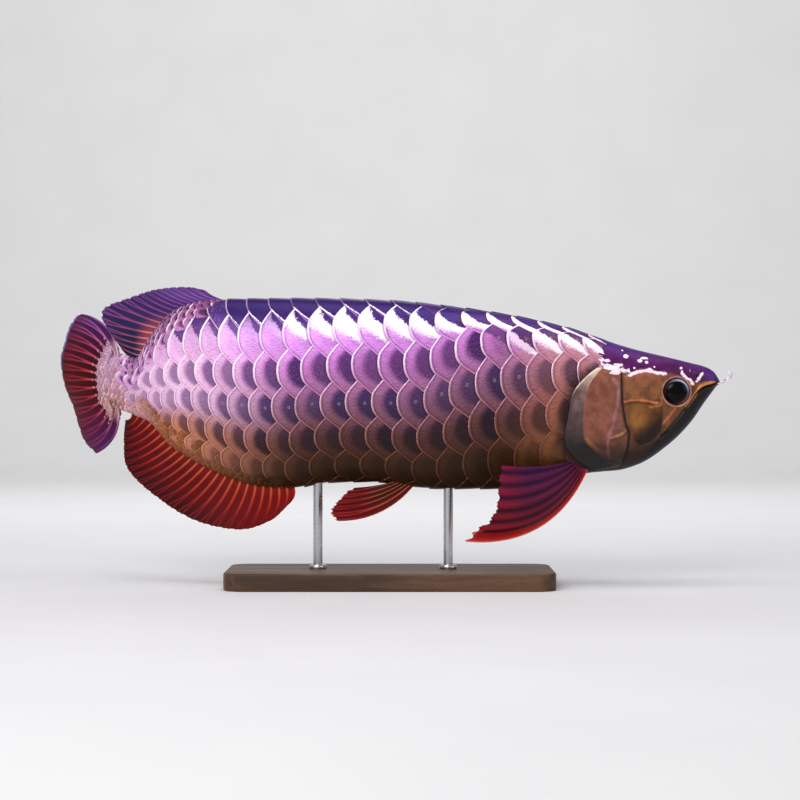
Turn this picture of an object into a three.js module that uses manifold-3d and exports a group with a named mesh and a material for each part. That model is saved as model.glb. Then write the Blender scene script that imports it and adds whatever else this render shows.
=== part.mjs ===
// An asian arowana, life size, swimming to the right on a plain display stand.
// Millimetres, +Z up. The snout points to +X and the right flank faces -Y. The head lies in the
// plane y = 0, and the tail sweeps away to +Y. The origin is on the floor, under the middle of the base.
import * as THREE from "three";
import { mergeVertices } from "three/addons/utils/BufferGeometryUtils.js";
import Module from "manifold-3d";

const wasm = await Module();
wasm.setup();

// Driving dimensions
const GAP = 0.3;
const SNOUT_X = 283;
const TAIL_TIP_X = -299;
const TAIL_SWEEP = 84;
const TAIL_SWEEP_POWER = 3;

// Lines of the body against x: its back, its belly and half its width, each with only its turning points.
const BACK_LINE = [
  [-256, 197], [-238, 200], [-223, 196], [-210, 213], [-191, 235], [-174, 242.5], [-141, 246.5],
  [-78, 247], [0, 245], [52, 240], [103, 232.5], [155, 221], [206, 204.7], [258, 192], [271, 188.5],
  [278, 184.5], [283, 177],
];
const BELLY_LINE = [
  [-256, 156], [-238, 152.5], [-226, 148.5], [-210, 142], [-191, 121.5], [-166, 106], [-142, 95],
  [-111, 86.5], [-82, 85], [-55, 89.5], [-17, 90.3], [43, 84.3], [95, 84.3], [138, 93], [163, 97.5],
  [195, 99.5], [213, 104.5], [241, 123], [259, 141.5], [270, 157.4], [283, 175],
];
const HALF_WIDTH = [
  [-256, 2.4], [-238, 5.6], [-210, 10], [-180, 14.5], [-140, 20], [-80, 26.5], [-20, 30.5], [40, 31.8],
  [100, 31.8], [150, 30.6], [180, 29], [206, 26], [230, 21.5], [246, 17.5], [262, 13.5], [274, 9.5],
  [280, 6.5], [283, 2.5],
];
// Height of the widest level, as a share of the depth, and the squareness of the section over and under it.
const WIDEST_LEVEL = [[-256, 0.5], [-140, 0.52], [0, 0.58], [150, 0.58], [215, 0.6], [283, 0.62]];
const BACK_SQUARENESS = [[-256, 1.9], [-180, 2], [-80, 2.4], [60, 2.7], [180, 2.9], [240, 3.2], [283, 2.6]];
const BELLY_SQUARENESS = [[-256, 1.9], [-140, 1.9], [0, 2], [150, 1.95], [200, 1.75], [283, 1.7]];

// Scales: rows 0 on the back to 6 on the belly. ROW_SHARE gives each row's share of the half girth against x,
// with rows 0 and 6 counted to the middle line only.
const LAST_ROW = 6;
const ROW_SHARE = [
  [-256, [8, 8, 9, 9, 6, 3, 3]],
  [-208, [16.5, 15, 15.3, 15.6, 11, 4, 4]],
  [-164, [22, 29, 23, 24.3, 23.5, 16.3, 11]],
  [9, [19, 31, 35.4, 31.9, 29.2, 26.9, 12.2]],
  [95, [8, 13, 30, 39, 35.5, 30, 24]],
  [158, [7, 9, 12.7, 39.8, 29.4, 30, 20]],
];
const SCALE_PITCH = 21.8;
const TAIL_PITCH_LOSS = 10.8;
const PITCH_TURN_X = -20;
const PITCH_TURN_LENGTH = 195;
const PITCH_POWER = 1.6;
const SCALES_FRONT_X = 215;
const SCALES_REAR_X = -250;
const PITCH_PHASE_X = -85;
const ROW_SLANT = -0.24;
const PLATE_HEIGHT = 1.2;
const PLATE_ROOT_HEIGHT = 0.15;
// The free edge of a scale from its rearmost point: shares of the pitch along the body and of a row round it.
const EDGE_UPPER = [0.05, -0.31];
const EDGE_LOWER = [0.24, 0.43];

// Parting lines in side view, each as x, z
const SHOULDER_LINE = [
  [176, 206], [177.5, 189], [166, 180.3], [154.4, 166], [150, 145], [147.6, 127], [154.4, 113.4],
  [168.8, 104], [181, 99.5],
];
const PREOPERCLE_LINE = [[196.5, 182], [197.3, 158.3], [200.5, 139], [203.5, 132], [202.5, 118], [199, 108]];
const MOUTH_LINE = [
  [283, 175.5], [276, 173.4], [267.5, 170.3], [262.5, 166.5], [256, 157.5], [248, 146.5], [240, 137],
  [231.5, 129.5],
];
const JAW_REAR = [[222, 117], [212, 104]];
const TORSO_SPLIT_X = 12;
const STALK_SPLIT_X = -168;
const CAUDAL_BASE = [[-240, 202], [-246.5, 185], [-247.5, 175], [-245, 164], [-240, 151]];

// Head sizes
const EYE_X = 244.2;
const EYE_Z = 167.2;
const EYE_RADIUS = 11.6;
const EYE_HALF_DEPTH = 7.5;
const EYE_PROUD = 1.8;
const ORBIT_RADIUS = 14.2;
const CHEEK_PLATE_RAISE = 0.9;
const LIP_RAISE = 0.9;
const GILL_COVER_RAISE = 1.7;
const GILL_MEMBRANE_RAISE = 0.9;
const GILL_COVER_DEPTH = 4.5;
const BARBEL_RADIUS = 0.9;

// Stand sizes
const BASE_LENGTH = 280;
const BASE_WIDTH = 120;
const BASE_HEIGHT = 15;
const BASE_CORNER = 18;
const ROD_RADIUS = 4;
const ROD_X = { front: 50, rear: -62 };

// Roots that sit on the scales, where the plates run out: x, z of each, within ROOT_CLEAR of it
const ROOTS = [[164, 104], [15, 87], [ROD_X.front, 84], [ROD_X.rear, 89]];
const ROOT_CLEAR = 14;

/** A smooth line through points sorted by x that never swings past them. */
function smoothLine(points) {
  const xs = points.map((p) => p[0]);
  const ys = points.map((p) => p[1]);
  const last = xs.length - 1;
  const step = xs.slice(1).map((x, i) => x - xs[i]);
  const rise = step.map((h, i) => (ys[i + 1] - ys[i]) / h);
  const slope = [rise[0]];
  for (let i = 1; i < last; i++) {
    const a = 2 * step[i] + step[i - 1];
    const b = step[i] + 2 * step[i - 1];
    slope.push(rise[i - 1] * rise[i] <= 0 ? 0 : (a + b) / (a / rise[i - 1] + b / rise[i]));
  }
  slope.push(rise[last - 1]);
  return (x) => {
    const at = THREE.MathUtils.clamp(x, xs[0], xs[last]);
    let i = 0;
    while (i < last - 1 && xs[i + 1] < at) i += 1;
    const t = (at - xs[i]) / step[i];
    const t2 = t * t;
    const t3 = t2 * t;
    return (2 * t3 - 3 * t2 + 1) * ys[i] + (t3 - 2 * t2 + t) * step[i] * slope[i] +
      (3 * t2 - 2 * t3) * ys[i + 1] + (t3 - t2) * step[i] * slope[i + 1];
  };
}

const backAt = smoothLine(BACK_LINE);
const bellyAt = smoothLine(BELLY_LINE);
const halfWidthAt = smoothLine(HALF_WIDTH);
const widestAt = smoothLine(WIDEST_LEVEL);
const backSquareAt = smoothLine(BACK_SQUARENESS);
const bellySquareAt = smoothLine(BELLY_SQUARENESS);

/** The body's mid-plane in plan: how far it lies to +Y at x, and its slope there. */
function sweep(x) {
  const reach = Math.max(0, x / TAIL_TIP_X);
  const y = TAIL_SWEEP * reach ** TAIL_SWEEP_POWER;
  const slope = (TAIL_SWEEP * TAIL_SWEEP_POWER * reach ** (TAIL_SWEEP_POWER - 1)) / TAIL_TIP_X;
  return { y, slope };
}

/** Takes a point at x of the mid-plane, set off sideways by w, to its place on the swept body. */
function place(x, w, z) {
  const { y, slope } = sweep(x);
  const norm = Math.hypot(1, slope);
  return new THREE.Vector3(x - (w * slope) / norm, y + w / norm, z);
}

const SECTION_STEPS = 72;

/** Half a section at x, from the back to the belly, as points [w, z] with their lengths along the girth. */
function halfSection(x, shrink = 0) {
  const top = backAt(x) - shrink;
  const bottom = bellyAt(x) + shrink;
  const half = halfWidthAt(x) - shrink;
  const widest = bottom + widestAt(x) * (top - bottom);
  const points = [];
  const lengths = [];
  for (let i = 0; i <= SECTION_STEPS; i++) {
    const turn = (Math.PI * i) / SECTION_STEPS;
    const over = turn <= Math.PI / 2;
    const power = 2 / (over ? backSquareAt(x) : bellySquareAt(x));
    const w = half * Math.max(Math.sin(turn), 0) ** power;
    const reach = Math.abs(Math.cos(turn)) ** power;
    const z = over ? widest + (top - widest) * reach : widest - (widest - bottom) * reach;
    points.push([w, z]);
    const before = points[i - 1];
    lengths.push(i ? lengths[i - 1] + Math.hypot(w - before[0], z - before[1]) : 0);
  }
  return { points, lengths };
}

/** The point of the right or left flank at x and at a share of the half girth, raised along the normal. */
function flankPoint(x, share, side, raise = 0, shrink = 0) {
  const { points, lengths } = halfSection(x, shrink);
  const target = THREE.MathUtils.clamp(share, 0, 1) * lengths[SECTION_STEPS];
  let i = 0;
  while (i < SECTION_STEPS - 1 && lengths[i + 1] < target) i += 1;
  const span = lengths[i + 1] - lengths[i];
  const t = span > 0 ? (target - lengths[i]) / span : 0;
  const [w0, z0] = points[i];
  const [w1, z1] = points[i + 1];
  let normal = new THREE.Vector2(z0 - z1, w1 - w0).normalize();
  if (share <= 0) normal = new THREE.Vector2(0, 1);
  if (share >= 1) normal = new THREE.Vector2(0, -1);
  const w = w0 + (w1 - w0) * t + normal.x * raise;
  const z = z0 + (z1 - z0) * t + normal.y * raise;
  return place(x, side * w, z);
}

/** Half the body's width at x and height z. */
function widthAtHeight(x, z) {
  const { points } = halfSection(x);
  const i = points.findIndex((p) => p[1] <= z);
  return points[Math.max(i, 0)][0];
}

/** A geometry from corner points and triangles. */
function meshFrom(points, triangles) {
  const geometry = new THREE.BufferGeometry();
  geometry.setAttribute("position", new THREE.Float32BufferAttribute(points.flatMap((p) => p.toArray()), 3));
  geometry.setIndex(triangles.flat());
  return geometry;
}

/** A closed geometry as a solid that can be joined and cut. */
function toSolid(geometry) {
  const bare = geometry.clone();
  bare.deleteAttribute("normal");
  bare.deleteAttribute("uv");
  const merged = mergeVertices(bare, 1e-4);
  return new wasm.Manifold(new wasm.Mesh({
    numProp: 3,
    vertProperties: new Float32Array(merged.attributes.position.array),
    triVerts: new Uint32Array(merged.index.array),
  }));
}

/** The largest closed surface of a solid, as a geometry. */
function toGeometry(solid) {
  const largest = solid.decompose().sort((a, b) => b.volume() - a.volume())[0];
  const { vertProperties, triVerts } = largest.getMesh();
  const geometry = new THREE.BufferGeometry();
  geometry.setAttribute("position", new THREE.BufferAttribute(vertProperties, 3));
  geometry.setIndex(new THREE.BufferAttribute(triVerts, 1));
  return geometry;
}

const HEAD_CORE_X = 120;
const HEAD_RINGS = 22;
const CORE_SHARES = 15;

/** The smooth head and shoulders as a solid, raised by an amount or made slimmer by one. */
function coreHead({ raise = 0, shrink = 0, rings = HEAD_RINGS }) {
  const x0 = HEAD_CORE_X;
  const x1 = SNOUT_X;
  const points = [];
  const triangles = [];
  const ringSize = 2 * CORE_SHARES;
  for (let r = 0; r <= rings; r++) {
    const eased = Math.sin((Math.PI / 2) * (r / rings));
    const x = x0 + (x1 - x0) * (0.35 * eased + 0.65 * (r / rings));
    for (let k = 0; k < ringSize; k++) {
      const side = k <= CORE_SHARES ? -1 : 1;
      const share = k <= CORE_SHARES ? k / CORE_SHARES : 2 - k / CORE_SHARES;
      points.push(flankPoint(x, share, side, raise, shrink));
    }
  }
  for (let r = 0; r < rings; r++) {
    for (let k = 0; k < ringSize; k++) {
      const a = r * ringSize + k;
      const b = r * ringSize + ((k + 1) % ringSize);
      triangles.push([a, b, b + ringSize], [a, b + ringSize, a + ringSize]);
    }
  }
  for (const [ring, flip] of [[0, true], [rings, false]]) {
    const middle = new THREE.Vector3();
    for (let k = 0; k < ringSize; k++) middle.addScaledVector(points[ring * ringSize + k], 1 / ringSize);
    if (ring) middle.x += raise + 0.4;
    const centre = points.push(middle) - 1;
    for (let k = 0; k < ringSize; k++) {
      const a = ring * ringSize + k;
      const b = ring * ringSize + ((k + 1) % ringSize);
      triangles.push(flip ? [centre, b, a] : [centre, a, b]);
    }
  }
  return toSolid(meshFrom(points, triangles));
}

/** Points of a smooth curve through corner points given as x, z. */
function curvePoints(corners, count) {
  return new THREE.SplineCurve(corners.map(([x, z]) => new THREE.Vector2(x, z))).getPoints(count);
}

const PRISM_HALF = 140;

/** A prism through the body: an outline in side view, run from y0 to y1. */
function prism(outline, y0 = -PRISM_HALF, y1 = PRISM_HALF) {
  const shape = new THREE.Shape(outline);
  const geometry = new THREE.ExtrudeGeometry(shape, { depth: y1 - y0, bevelEnabled: false, steps: 1 });
  geometry.rotateX(Math.PI / 2);
  geometry.translate(0, y1, 0);
  return toSolid(geometry);
}

/** An outline moved outwards by an amount, corner by corner. */
function grown(outline, amount) {
  const turn = THREE.ShapeUtils.isClockWise(outline) ? -1 : 1;
  const count = outline.length;
  return outline.map((p, i) => {
    const before = p.clone().sub(outline[(i + count - 1) % count]).normalize();
    const after = outline[(i + 1) % count].clone().sub(p).normalize();
    const normal = new THREE.Vector2(before.y + after.y, -(before.x + after.x)).normalize();
    const across = new THREE.Vector2(before.y, -before.x);
    const miter = Math.max(normal.dot(across), 0.5);
    return p.clone().addScaledVector(normal, (turn * amount) / miter);
  });
}

const vector = ([x, z]) => new THREE.Vector2(x, z);
const FAR = 120;
const shoulder = curvePoints(SHOULDER_LINE, 20);
const headOutline = [
  vector([SHOULDER_LINE[0][0], 300]), ...shoulder, vector([186, 60]), vector([SNOUT_X + FAR, 60]),
  vector([SNOUT_X + FAR, 300]),
];
const mouth = curvePoints(MOUTH_LINE, 14);
const jawOutline = [
  vector([SNOUT_X + 20, 177.5]), ...mouth, ...JAW_REAR.map(vector), vector([206, 90]), vector([SNOUT_X + 20, 90]),
];

// Scales of the torso and the tail stalk

/** Length of one scale's exposed part at x. */
function pitchAt(x) {
  const past = Math.max(0, (PITCH_TURN_X - x) / PITCH_TURN_LENGTH);
  return SCALE_PITCH - TAIL_PITCH_LOSS * Math.min(past, 1.1) ** PITCH_POWER;
}

const PITCH_STEP = 0.05;

/** Places along the body at steps of a share of the pitch, from PITCH_PHASE_X to each end. */
function pitchLadder() {
  const ahead = [PITCH_PHASE_X];
  while (ahead.at(-1) < SCALES_FRONT_X + 60) ahead.push(ahead.at(-1) + pitchAt(ahead.at(-1)) * PITCH_STEP);
  const behind = [PITCH_PHASE_X];
  while (behind.at(-1) > SCALES_REAR_X - 40) behind.push(behind.at(-1) - pitchAt(behind.at(-1)) * PITCH_STEP);
  return { ahead, behind };
}

const ladder = pitchLadder();

/** The x at a count of pitches ahead of PITCH_PHASE_X, or behind it when negative. */
function xAtCount(count) {
  const steps = Math.abs(count) / PITCH_STEP;
  const list = count >= 0 ? ladder.ahead : ladder.behind;
  const i = Math.min(Math.floor(steps), list.length - 2);
  return list[i] + (list[i + 1] - list[i]) * (steps - i);
}

const rowShareAt = ROW_SHARE[0][1].map((_, row) => smoothLine(ROW_SHARE.map(([x, shares]) => [x, shares[row]])));

/** The share of the half girth at x where a row number lies, whole numbers being the rows' middles. */
function girthShare(x, row) {
  const shares = rowShareAt.map((line) => line(x));
  const total = shares.reduce((sum, s) => sum + s, 0);
  const middles = [0];
  let edge = shares[0];
  for (let k = 1; k < LAST_ROW; k++) {
    middles.push(edge + shares[k] / 2);
    edge += shares[k];
  }
  middles.push(total);
  const k = Math.min(Math.floor(row), LAST_ROW - 1);
  return (middles[k] + (middles[k + 1] - middles[k]) * (row - k)) / total;
}

/** How high a scale's free edge stands: it runs out by the fins' roots and on the small rows of the tail. */
function plateHeight(x, row, z) {
  let height = PLATE_HEIGHT;
  const rowWidth = (girthShare(x, Math.min(row + 0.5, LAST_ROW)) - girthShare(x, Math.max(row - 0.5, 0))) *
    halfSection(x).lengths[SECTION_STEPS];
  height *= THREE.MathUtils.clamp((rowWidth - 4) / 18, 0.3, 1);
  if (x < -60) height *= THREE.MathUtils.clamp(Math.min(row, LAST_ROW - row) * 1.6, 0, 1);
  for (const [rx, rz] of ROOTS) {
    const away = Math.hypot(x - rx, z - rz) / ROOT_CLEAR;
    height *= THREE.MathUtils.clamp(away - 1, 0, 1);
  }
  return Math.max(height, PLATE_ROOT_HEIGHT);
}

/** The torso and stalk as one closed body laid out in overlapping scale plates, all moved out by spare. */
function scaledBody(spare = 0) {
  const points = [];
  const triangles = [];
  const known = new Map();
  const firstScale = Math.ceil(-(ladder.behind.length - 1) * PITCH_STEP + 3);
  const lastScale = Math.floor((ladder.ahead.length - 1) * PITCH_STEP - 1);

  /** The point number of a place on the lattice, on the free edge of a scale or on the one under it. */
  function corner(scale, row, side, [along, round], raised) {
    const rowAt = THREE.MathUtils.clamp(row + round, 0, LAST_ROW);
    const onMiddle = rowAt === 0 || rowAt === LAST_ROW;
    const key = [scale, row, onMiddle ? 0 : side, along, round, raised].join();
    if (!known.has(key)) {
      const x = xAtCount(scale + row * ROW_SLANT + along);
      const share = girthShare(x, rowAt);
      const flat = flankPoint(x, share, side);
      const raise = spare + (raised ? plateHeight(x, rowAt, flat.z) : 0);
      known.set(key, points.push(flankPoint(x, share, side, raise)) - 1);
    }
    return known.get(key);
  }

  const REAR = [0, 0];

  /** Adds faces given as rings of point numbers, turned over on the left side. */
  function add(side, ...faces) {
    for (const [a, b, c] of faces) triangles.push(side < 0 ? [a, b, c] : [a, c, b]);
  }

  for (let scale = firstScale; scale < lastScale; scale++) {
    for (let row = 0; row <= LAST_ROW; row++) {
      for (const side of [-1, 1]) {
        const rear = corner(scale, row, side, REAR, true);
        const rearUnder = corner(scale, row, side, REAR, false);
        const front = corner(scale + 1, row, side, REAR, false);
        const walled = scale > firstScale;
        if (row > 0) {
          const top = corner(scale, row - 1, side, EDGE_LOWER, false);
          const upper = corner(scale, row, side, EDGE_UPPER, true);
          const upperUnder = corner(scale, row, side, EDGE_UPPER, false);
          const frontUpper = corner(scale + 1, row, side, EDGE_UPPER, false);
          add(side, [top, upper, frontUpper], [upper, rear, front], [upper, front, frontUpper]);
          if (walled) {
            add(side, [upper, top, upperUnder], [upper, upperUnder, rearUnder], [upper, rearUnder, rear]);
          }
        }
        if (row < LAST_ROW) {
          const lower = corner(scale, row, side, EDGE_LOWER, true);
          const lowerUnder = corner(scale, row, side, EDGE_LOWER, false);
          const bottom = corner(scale + 1, row + 1, side, EDGE_UPPER, false);
          const frontLower = corner(scale + 1, row, side, EDGE_LOWER, false);
          add(side, [rear, lower, frontLower], [rear, frontLower, front], [lower, bottom, frontLower]);
          if (walled) {
            add(side, [rear, rearUnder, lowerUnder], [rear, lowerUnder, lower], [lower, lowerUnder, bottom]);
          }
        }
      }
    }
  }
  closeEnds(points, triangles);
  return toSolid(meshFrom(points, triangles));
}

/** Closes each open end of a tube with a fan round the middle of its rim. */
function closeEnds(points, triangles) {
  const next = new Map();
  const edges = new Set();
  for (const [a, b, c] of triangles) {
    for (const [p, q] of [[a, b], [b, c], [c, a]]) edges.add(p + "," + q);
  }
  for (const edge of edges) {
    const [p, q] = edge.split(",").map(Number);
    if (!edges.has(q + "," + p)) next.set(q, p);
  }
  while (next.size) {
    const rim = [next.keys().next().value];
    while (next.has(rim.at(-1))) {
      const from = rim.at(-1);
      rim.push(next.get(from));
      next.delete(from);
    }
    rim.pop();
    const middle = new THREE.Vector3();
    for (const i of rim) middle.addScaledVector(points[i], 1 / rim.length);
    const centre = points.push(middle) - 1;
    rim.forEach((from, i) => triangles.push([from, rim[(i + 1) % rim.length], centre]));
  }
}

// Fins

const RAY_ROWS = 4;

/**
 * A fin as a thin closed sheet with its rays raised as ridges on both faces.
 * root and edge are curves in side view, fan pairs shares along them, bow lifts a ray's middle off its chord,
 * sink is how far the root runs on into the body, along the rays or, with inward given, all that one way, and
 * lie takes a point of the sheet to its place in space.
 */
function finSolid({ root, edge, fan, rays, bow, sink, inward, rayThick, webThick, notch = 0, lie }) {
  const rootCurve = new THREE.SplineCurve(root.map(vector));
  const edgeCurve = new THREE.SplineCurve(edge.map(vector));
  const fanAt = smoothLine(fan);
  const columns = 2 * (rays - 1);
  const grid = [];
  for (let c = 0; c <= columns; c++) {
    const s = c / columns;
    const from = rootCurve.getPointAt(s);
    const to = edgeCurve.getPointAt(fanAt(s));
    const along = to.clone().sub(from);
    const across = new THREE.Vector2(-along.y, along.x).normalize();
    const reach = c % 2 ? 1 - notch : 1;
    const start = -sink / along.length();
    const column = [];
    for (let r = 0; r <= RAY_ROWS; r++) {
      const t = r ? ((reach * r) / RAY_ROWS) : start;
      const flat = t < 0 && inward
        ? from.clone().addScaledVector(vector(inward), sink)
        : from.clone().addScaledVector(along, t).addScaledVector(across, bow(s) * 4 * t * (1 - t));
      const full = c % 2 ? webThick : rayThick;
      const thick = THREE.MathUtils.lerp(full[0], full[1], THREE.MathUtils.clamp(t, 0, 1));
      column.push({ point: lie(flat.x, flat.y, t, s), thick });
    }
    grid.push(column);
  }
  const points = [];
  const number = (c, r, face) => 2 * (c * (RAY_ROWS + 1) + r) + face;
  for (let c = 0; c <= columns; c++) {
    for (let r = 0; r <= RAY_ROWS; r++) {
      const dc = grid[Math.min(c + 1, columns)][r].point.clone().sub(grid[Math.max(c - 1, 0)][r].point);
      const dr = grid[c][Math.min(r + 1, RAY_ROWS)].point.clone().sub(grid[c][Math.max(r - 1, 0)].point);
      const normal = dc.cross(dr).normalize();
      const { point, thick } = grid[c][r];
      points.push(point.clone().addScaledVector(normal, thick / 2));
      points.push(point.clone().addScaledVector(normal, -thick / 2));
    }
  }
  const triangles = [];
  for (let c = 0; c < columns; c++) {
    for (let r = 0; r < RAY_ROWS; r++) {
      const corners = (face) => [[c, r], [c + 1, r], [c + 1, r + 1], [c, r + 1]].map(([i, j]) => number(i, j, face));
      const [a, b, d, e] = corners(0);
      const [p, q, s, t] = corners(1);
      triangles.push([a, b, d], [a, d, e], [p, s, q], [p, t, s]);
    }
  }
  const rim = [];
  for (let c = 0; c < columns; c++) rim.push([c, 0]);
  for (let r = 0; r < RAY_ROWS; r++) rim.push([columns, r]);
  for (let c = columns; c > 0; c--) rim.push([c, RAY_ROWS]);
  for (let r = RAY_ROWS; r > 0; r--) rim.push([0, r]);
  rim.forEach(([c, r], i) => {
    const [c2, r2] = rim[(i + 1) % rim.length];
    const [a, b, p, q] = [number(c, r, 0), number(c2, r2, 0), number(c, r, 1), number(c2, r2, 1)];
    triangles.push([a, q, b], [a, p, q]);
  });
  const solid = toSolid(meshFrom(points, triangles));
  return solid;
}

/** The lie of a fin in the body's mid-plane, with a shallow wave that grows towards its edge. */
function midPlane(wave, turns, curl = 0) {
  return (x, z, t, s) => {
    const out = THREE.MathUtils.clamp(t, 0, 1);
    const at = place(x, wave * out * Math.sin(turns * 2 * Math.PI * s), z);
    at.y += curl * out * out;
    return at;
  };
}

const dorsalFin = {
  root: [[-141, 246], [-174, 241.5], [-190.6, 234], [-202.4, 224.5], [-210.5, 213], [-216, 202], [-224, 196]],
  edge: [
    [-139, 248], [-160.2, 255.2], [-178, 258.6], [-203.3, 257], [-230.9, 250], [-251.8, 243], [-255.6, 233.3],
    [-244.1, 215.5], [-236.6, 205],
  ],
  fan: [[0, 0.14], [0.08, 0.25], [0.5, 0.55], [0.8, 0.88], [1, 1]],
  rays: 19, bow: () => 1.5, sink: 5, rayThick: [1.9, 1], webThick: [0.9, 0.7], notch: 0.035, lie: midPlane(1.4, 2.2),
};
const analFin = {
  root: [[-81.8, 84], [-111.2, 85], [-141.7, 94], [-166.4, 105.5], [-191.5, 121], [-209, 141.5], [-226.3, 149]],
  edge: [
    [-81, 80], [-93, 64.4], [-105.1, 54.9], [-129.5, 47.8], [-166.4, 54.3], [-200.5, 72], [-230, 99.5],
    [-235.2, 123.1], [-232, 142.5],
  ],
  fan: [[0, 0.05], [0.26, 0.34], [0.5, 0.62], [0.83, 0.885], [1, 1]],
  rays: 25, bow: () => 2.5, sink: 5, rayThick: [1.9, 1], webThick: [0.9, 0.7], notch: 0.02, lie: midPlane(1.6, 2.6),
};
const caudalFin = {
  root: [[-239, 200], [-245.5, 185], [-246.5, 175], [-244, 164], [-239, 153]],
  edge: [
    [-275.7, 237], [-282, 236], [-290.9, 226.5], [-296, 210.5], [-298.5, 199], [-297, 187], [-292.8, 169.9],
    [-286.5, 154.6], [-281, 135.8], [-275, 122.4], [-262.9, 111.9],
  ],
  fan: [[0, 0], [0.5, 0.46], [1, 1]],
  rays: 15, bow: (s) => 9 * (2 * s - 1), sink: 3, rayThick: [2.8, 1], webThick: [1.8, 0.7], notch: 0.02,
  lie: midPlane(1.2, 1.5, 17),
};
const pectoralFin = {
  root: [[157, 108.5], [163, 105], [169.5, 101.5]],
  edge: [
    [93.4, 105.4], [91.3, 95], [89.6, 76], [88.6, 68.4], [84.4, 61.7], [78.6, 52.5], [69.4, 47.5], [61.9, 41.8],
  ],
  fan: [[0, 0], [1, 1]],
  rays: 8, bow: (s) => 3 + 19 * s, sink: 6, inward: [0, 1], rayThick: [2.4, 1.1], webThick: [1.1, 0.7], notch: 0.02,
};
const pelvicFin = {
  root: [[5, 90], [13, 88.5], [21, 87]],
  edge: [[-35.7, 83.4], [-41.6, 77.5], [-49.3, 68.9], [-50.8, 64.5], [-45.9, 57.5]],
  fan: [[0, 0], [1, 1]],
  rays: 6, bow: (s) => 1 + 8 * s, sink: 5, inward: [0.1, 0.99], rayThick: [2, 1], webThick: [1, 0.7], notch: 0.03,
};
const PECTORAL_ROOT_Y = [13, 6.5];
const PECTORAL_SPREAD = 46;
const PELVIC_ROOT_Y = [5, 4];
const PELVIC_SPREAD = 24;
// The left fins are carried a little further forward than the right ones.
const LEFT_FORWARD = { pectoral: 9, pelvic: 4 };

/** The lie of a paired fin, which spreads sideways from its root, cups a little and may be carried forward. */
function spreading(side, [hindY, foreY], spread, cup, forward) {
  return (x, z, t, s) => {
    const out = THREE.MathUtils.clamp(t, 0, 1);
    const inside = Math.min(t, 0) * spread;
    const y = THREE.MathUtils.lerp(hindY, foreY, s) + spread * out + inside + cup * 4 * s * (1 - s) * out;
    return new THREE.Vector3(x + (side > 0 ? forward * out : 0), side * y, z);
  };
}

// Pieces

const looks = {
  back: { color: 0x5a2f6e, roughness: 0.35, metalness: 0.15 },
  flank: { color: 0xc48aa6, roughness: 0.35, metalness: 0.2 },
  cheek: { color: 0x8a5040, roughness: 0.4, metalness: 0.1 },
  jaw: { color: 0x6a4a3a, roughness: 0.45, metalness: 0.05 },
  eye: { color: 0x0c0a10, roughness: 0.1, metalness: 0 },
  fin: { color: 0x9c2230, roughness: 0.45, metalness: 0 },
  blueFin: { color: 0x6a3f78, roughness: 0.45, metalness: 0 },
  barbel: { color: 0x8a7aa0, roughness: 0.5, metalness: 0 },
  base: { color: 0x2e211a, roughness: 0.35, metalness: 0 },
  rod: { color: 0x9a9ca0, roughness: 0.3, metalness: 0.9 },
};

const arowana = new THREE.Group();

/** Adds a named mesh with its own material to the model. */
function addPiece(name, geometry, look) {
  const mesh = new THREE.Mesh(geometry, new THREE.MeshStandardMaterial(looks[look]));
  mesh.name = name;
  arowana.add(mesh);
}

const SIDES = { right: -1, left: 1 };

function addTorso() {
  const whole = scaledBody();
  const ahead = prism(grown(headOutline, GAP));
  const behindCaudal = grown([
    ...curvePoints(CAUDAL_BASE, 12), vector([-400, 120]), vector([-400, 230]),
  ], 0);
  const body = whole.subtract(ahead).subtract(prism(behindCaudal));
  const lengths = {
    torso_front: [TORSO_SPLIT_X + GAP / 2, SNOUT_X],
    torso_rear: [STALK_SPLIT_X + GAP / 2, TORSO_SPLIT_X - GAP / 2],
    tail_stalk: [-400, STALK_SPLIT_X - GAP / 2],
  };
  for (const [name, [x0, x1]] of Object.entries(lengths)) {
    const slab = prism([[x0, 60], [x1, 60], [x1, 280], [x0, 280]].map(vector));
    addPiece(name, toGeometry(body.intersect(slab)), "flank");
  }
}

/** The eye as a flattened ball, a little proud of the cheek. */
function eyeball(side, extra) {
  const ball = new THREE.SphereGeometry(1, 18, 10);
  ball.rotateX(Math.PI / 2);
  ball.scale(EYE_RADIUS + extra, EYE_HALF_DEPTH + extra, EYE_RADIUS + extra);
  const y = widthAtHeight(EYE_X, EYE_Z) + EYE_PROUD - EYE_HALF_DEPTH;
  ball.translate(EYE_X, side * y, EYE_Z);
  return ball;
}

/** A small pit of the head's skin at x, z on one side. */
function pit(x, z, radius, side) {
  const ball = new THREE.SphereGeometry(radius, 8, 6);
  ball.translate(x, side * widthAtHeight(x, z), z);
  return toSolid(ball);
}

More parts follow.
